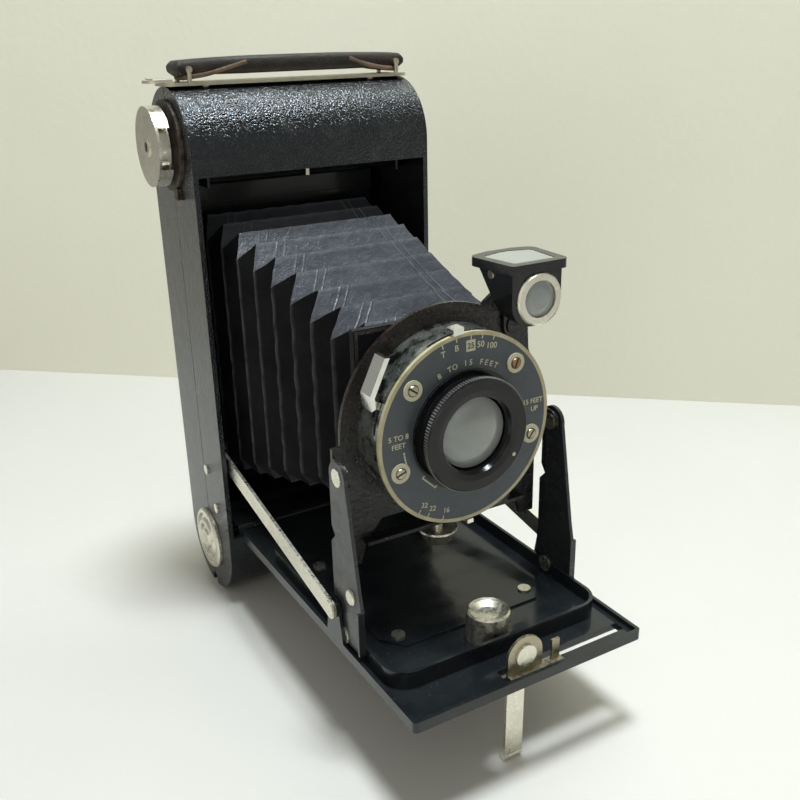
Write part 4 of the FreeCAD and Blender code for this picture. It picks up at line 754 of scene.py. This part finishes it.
def arc_words(text, size, radius, middle, bold=0.0, pitch=0.78, upright_out=True):
    """Letters one by one along a circle round the lens axis. Angles are in degrees from +X to +Z."""
    meshes = []
    step = math.degrees(size * pitch / radius) * (-1 if upright_out else 1)
    start = middle - step * (len(text) - 1) / 2
    for i, letter in enumerate(text):
        if letter == " ":
            continue
        angle = math.radians(start + step * i)
        turn = angle - math.pi / 2 if upright_out else angle + math.pi / 2
        meshes.append(glyph(letter, size, on_face(radius * math.cos(angle), radius * math.sin(angle)),
                            turn, bold))
    return meshes


def bar(shape, radius, angle, length, width):
    """A small painted line on the face, pointing at the lens axis."""
    turn = math.radians(angle)
    out, along = Vector((math.cos(turn), 0, math.sin(turn))), Vector((-math.sin(turn), 0, math.cos(turn)))
    corners = []
    for sign_out, sign_along in ((-1, -1), (1, -1), (1, 1), (-1, 1)):
        spot = on_face(0, 0) + out * (radius + sign_out * length / 2) + along * sign_along * width / 2
        corners.append(shape.verts.new(spot))
    shape.faces.new(corners)


def ring_line(shape, across, up, wide, tall, line, turn=0.0):
    """A hollow painted box."""
    def corner(x, z):
        c, s = math.cos(turn), math.sin(turn)
        return on_face(across + c * x - s * z, up + s * x + c * z)
    outer = [corner(x * wide / 2, z * tall / 2) for x, z in ((-1, -1), (1, -1), (1, 1), (-1, 1))]
    inner = [corner(x * (wide / 2 - line), z * (tall / 2 - line))
             for x, z in ((-1, -1), (1, -1), (1, 1), (-1, 1))]
    outer = [shape.verts.new(point) for point in outer]
    inner = [shape.verts.new(point) for point in inner]
    for i in range(4):
        j = (i + 1) % 4
        shape.faces.new((outer[i], outer[j], inner[j], inner[i]))


def face_marks():
    """Scales for time, aperture and distance, in cream paint."""
    words = []
    small, tiny, bold = 2.3 * MM, 2.1 * MM, 0.02 * MM
    for text, angle in (("T", 108.3), ("B", 98.0), ("50", 79.6), ("100", 70.8)):
        turn = math.radians(angle - 90) * 0.35
        words.append(glyph(text, small, spot_on_face(22.95 * MM, angle), turn, bold))
    for text, angle in (("32", 234.4), ("22", 241.8), ("16", 253.4)):
        turn = math.radians(angle - 270) * 0.35
        words.append(glyph(text, tiny, spot_on_face(22.9 * MM, angle), turn, bold))
    words += arc_words("8 TO 15 FEET", tiny, 18.3 * MM, 89.0, bold)
    lines = (("5 TO 8", -20.7, 2.3), ("FEET", -20.7, 0.0), ("15 FEET", 21.4, 3.3), ("UP", 22.0, 1.0))
    for text, across, up in lines:
        words.append(glyph(text, 2.0 * MM, on_face(across * MM, up * MM), 0.0, bold))

    def build(shape):
        for mesh in words:
            shape.from_mesh(mesh)
        upper = ((107.2, 1.3), (97.4, 1.0), (79.3, 1.0), (70.9, 1.0))
        lower = ((233.6, 1.3), (240.8, 1.3), (252.4, 1.3))
        for angle, length in upper + lower:
            bar(shape, 25.0 * MM, angle, length * MM, 0.32 * MM)
        bar(shape, 24.8 * MM, 87.3, 1.4 * MM, 0.32 * MM)
        ring_line(shape, -11.4 * MM, -11.9 * MM, 5.6 * MM, 1.8 * MM, 0.35 * MM, math.radians(-44))
        for k in range(5):
            bar(shape, 19.3 * MM, 187.0 + 2.6 * k, 0.45 * MM, 0.75 * MM)

    new_piece("scale_marks", "standard", CREAM, build)

    def build_box(shape):
        left, right, low, high = -0.3 * MM, 2.5 * MM, 21.3 * MM, 24.3 * MM
        corners = ((left, low), (right, low), (right, high), (left, high))
        shape.faces.new([shape.verts.new(on_face(x, z, INK * 0.6)) for x, z in corners])

    new_piece("scale_box", "standard", CREAM, build_box)
    number = glyph("25", 2.2 * MM, on_face(1.1 * MM, 22.7 * MM, 0.1 * MM), 0.0, 0.04 * MM)
    new_piece("scale_box_number", "standard", MATERIALS["slate_face"],
              lambda shape: shape.from_mesh(number))


# ---------------------------------------------------------------- small work on the shutter

def ring_points(radius, back, count, wave):
    """Points round the lens axis, every other one standing out by the wave."""
    points = []
    for k in range(count):
        angle = 2 * math.pi * k / count
        reach = radius + wave * (k % 2)
        points.append(Vector((reach * math.cos(angle), back, LENS_UP + reach * math.sin(angle))))
    return points


def knurl():
    """The milled band round the front of the focusing ring."""
    def build(shape):
        front, back, count = BARREL_FRONT + 0.45 * MM, BARREL_FRONT + 1.9 * MM, 240
        rings = []
        steps = ((15.2, front, 0.0), (15.3, front, 0.35), (15.3, back, 0.35), (15.2, back, 0.0))
        for radius, place, wave in steps:
            rings.append([shape.verts.new(point)
                          for point in ring_points(radius * MM, place, count, wave * MM)])
        join_rings(shape, rings)
    new_piece("front_knurl", "front_cell", MILLED, build)


FACING_FRONT = Vector((1, 0, 0))
FACING_SIDE = Vector((0, 1, 0))


def disc(shape, middle, radius, across=FACING_FRONT, count=28):
    """A flat upright disc. across is the level direction that lies in it."""
    corners = []
    for k in range(count):
        turn = 2 * math.pi * k / count
        corners.append(shape.verts.new(
            middle + (across * math.cos(turn) + Vector((0, 0, math.sin(turn)))) * radius))
    shape.faces.new(corners)


def focus_dot():
    """The white index dot on the front of the focusing ring."""
    spot = Vector((11.3 * MM, BARREL_FRONT - 0.03 * MM, LENS_UP - 7.8 * MM))
    new_piece("focus_dot", "front_cell", CREAM, lambda shape: disc(shape, spot, 0.55 * MM))


def build_screw(shape, across, up, slot_turn):
    """A low domed screw head with a slot, lying in an eyelet of the face."""
    head = FACE_FRONT - 0.45 * MM
    along = Vector((math.cos(slot_turn), 0, math.sin(slot_turn)))
    side = Vector((-math.sin(slot_turn), 0, math.cos(slot_turn)))
    middle = Vector((across, head, LENS_UP + up))
    radius, gap, steps = 1.45 * MM, 0.24 * MM, 10
    limit = math.asin(gap / radius)
    for sign in (1, -1):
        rim = []
        for k in range(steps + 1):
            angle = limit + (math.pi - 2 * limit) * k / steps
            rim.append(along * radius * math.cos(angle) + side * sign * radius * math.sin(angle))
        low = [shape.verts.new(middle + point) for point in rim]
        rise = Vector((0, -0.32 * MM, 0)) + side * sign * gap * 0.14
        top = [shape.verts.new(middle + point * 0.86 + rise) for point in rim]
        shape.faces.new(top)
        join_rings(shape, [low, top])


def eyelet_screws():
    """A screw in each eyelet: worn brass at the upper right, tarnished nickel in the others."""
    def build(shape, places):
        for angle, slot_turn in places:
            turn = math.radians(angle)
            across, up = EYELET_REACH * math.cos(turn), EYELET_REACH * math.sin(turn)
            build_screw(shape, across, up, math.radians(slot_turn))

    places = list(zip(EYELET_ANGLES, (-35.0, 70.0, 20.0, 50.0)))
    new_piece("brass_screw", "standard", BRASS_WORN, lambda shape: build(shape, places[1:2]))
    new_piece("nickel_screws", "standard", TARNISHED,
              lambda shape: build(shape, places[:1] + places[2:]))


def eyelet_bowls():
    """A dark disc in each eyelet, round its screw: painted shade in the hollow."""
    def build(shape):
        for angle in EYELET_ANGLES:
            disc(shape, spot_on_face(EYELET_REACH, angle) - Vector((0, 0.41 * MM, 0)), 1.62 * MM)
    new_piece("eyelet_bowls", "standard", SHADE_BROWN, build)


def key_hole():
    """A dark disc in the middle of the winding key: painted shade for the hole at the end of the shaft."""
    low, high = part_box("winding_key")
    spot = Vector((low.x + 0.5 * MM, (low.y + high.y) / 2, (low.z + high.z) / 2))
    new_piece("key_hole", "take_up", SHADE_BROWN,
              lambda shape: disc(shape, spot, 1.48 * MM, FACING_SIDE))


def finder_screw():
    """The small screw head in the side of the finder, just under its hood."""
    low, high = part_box("finder_case")
    spot = Vector((0.0145, -0.0916, high.z - 3.9 * MM))
    screw = new_piece("finder_screw", "finder", TARNISHED,
                      lambda shape: build_stud(shape, spot, -1, 1.3 * MM, 0.5 * MM))
    smooth(screw, 40.0)


# ---------------------------------------------------------------- the stage

def stage_surface(name, low, high, roughness):
    cover = Surface(name, high, roughness)
    cover.feed("Base Color", cover.mix(cover.levels(cover.noise(3.5, 4.0), 0.3, 0.7), low, high))
    cover.bump(cover.noise(260.0, 3.0), 0.0001)
    return cover.material


def stage_sheet(name, corners, material):
    sheet = new_piece(name, None, material,
                      lambda shape: shape.faces.new([shape.verts.new(point) for point in corners]))


def stage():
    """A pale table, and a cream wall that stands slantwise behind the object."""
    table = stage_surface("table_white", (0.58, 0.565, 0.52), (0.635, 0.62, 0.575), 0.5)
    wall = stage_surface("wall_cream", (0.76, 0.74, 0.60), (0.82, 0.80, 0.66), 0.8)
    stage_sheet("table_top", [(-3, -3, 0), (3, -3, 0), (3, 3, 0), (-3, 3, 0)], table)
    left, right = Vector((-0.0625, 0.29005, 0)), Vector((0.2734, -0.00325, 0))
    along, rise = (right - left).normalized(), Vector((0, 0, 1.6))
    base = [left - along * 0.02, right + along * 1.6]
    stage_sheet("wall", [base[0], base[1], base[1] + rise, base[0] + rise], wall)


def area_light(name, spot, aim, size, power, colour):
    light = bpy.data.lights.new(name, "AREA")
    light.energy = power
    light.color = colour
    light.shape = "SQUARE"
    light.size = size
    lamp = bpy.data.objects.new(name, light)
    bpy.context.scene.collection.objects.link(lamp)
    lamp.location = spot
    lamp.rotation_euler = (Vector(spot) - Vector(aim)).to_track_quat("Z", "Y").to_euler()


def lights():
    area_light("overhead", (0.05, -0.10, 0.95), (0, 0, 0.08), 0.20, 10.2, (0.88, 0.95, 1.0))
    area_light("right_side", (0.75, 0.10, 0.75), (0, -0.03, 0.08), 0.35, 6.6, (1.0, 0.97, 0.90))
    area_light("front_fill", (-0.75, -0.75, 0.55), (0, -0.03, 0.08), 0.9, 1.6, (1.0, 0.98, 0.93))
    world = bpy.data.worlds.new("room")
    world.use_nodes = True
    world.node_tree.nodes["Background"].inputs["Color"].default_value = (0.93, 0.93, 0.88, 1)
    world.node_tree.nodes["Background"].inputs["Strength"].default_value = 0.34
    bpy.context.scene.world = world


def camera():
    """The photograph's viewpoint: 30 degrees to the left, 21 degrees up, a slight tilt."""
    azimuth, elevation, tilt = math.radians(-29.89), math.radians(21.29), math.radians(-1.38)
    back = Vector((math.sin(azimuth) * math.cos(elevation),
                   -math.cos(azimuth) * math.cos(elevation),
                   math.sin(elevation)))
    lens = bpy.data.cameras.new("view")
    lens.lens = 42.45
    lens.sensor_width = 36.0
    lens.clip_start = 0.01
    eye = bpy.data.objects.new("view", lens)
    bpy.context.scene.collection.objects.link(eye)
    eye.location = (-0.1281, -0.28978, 0.18339)
    eye.rotation_euler = (back.to_track_quat("Z", "Y") @ Quaternion((0, 0, 1), tilt)).to_euler()
    bpy.context.scene.camera = eye


paint_cad_nodes()
bellows()
bellows_collar()
handle_strap()
face_marks()
arm_studs()
knurl()
focus_dot()
eyelet_bowls()
eyelet_screws()
key_hole()
finder_screw()
stage()
lights()
camera()
bpy.context.scene.view_settings.view_transform = "Standard"
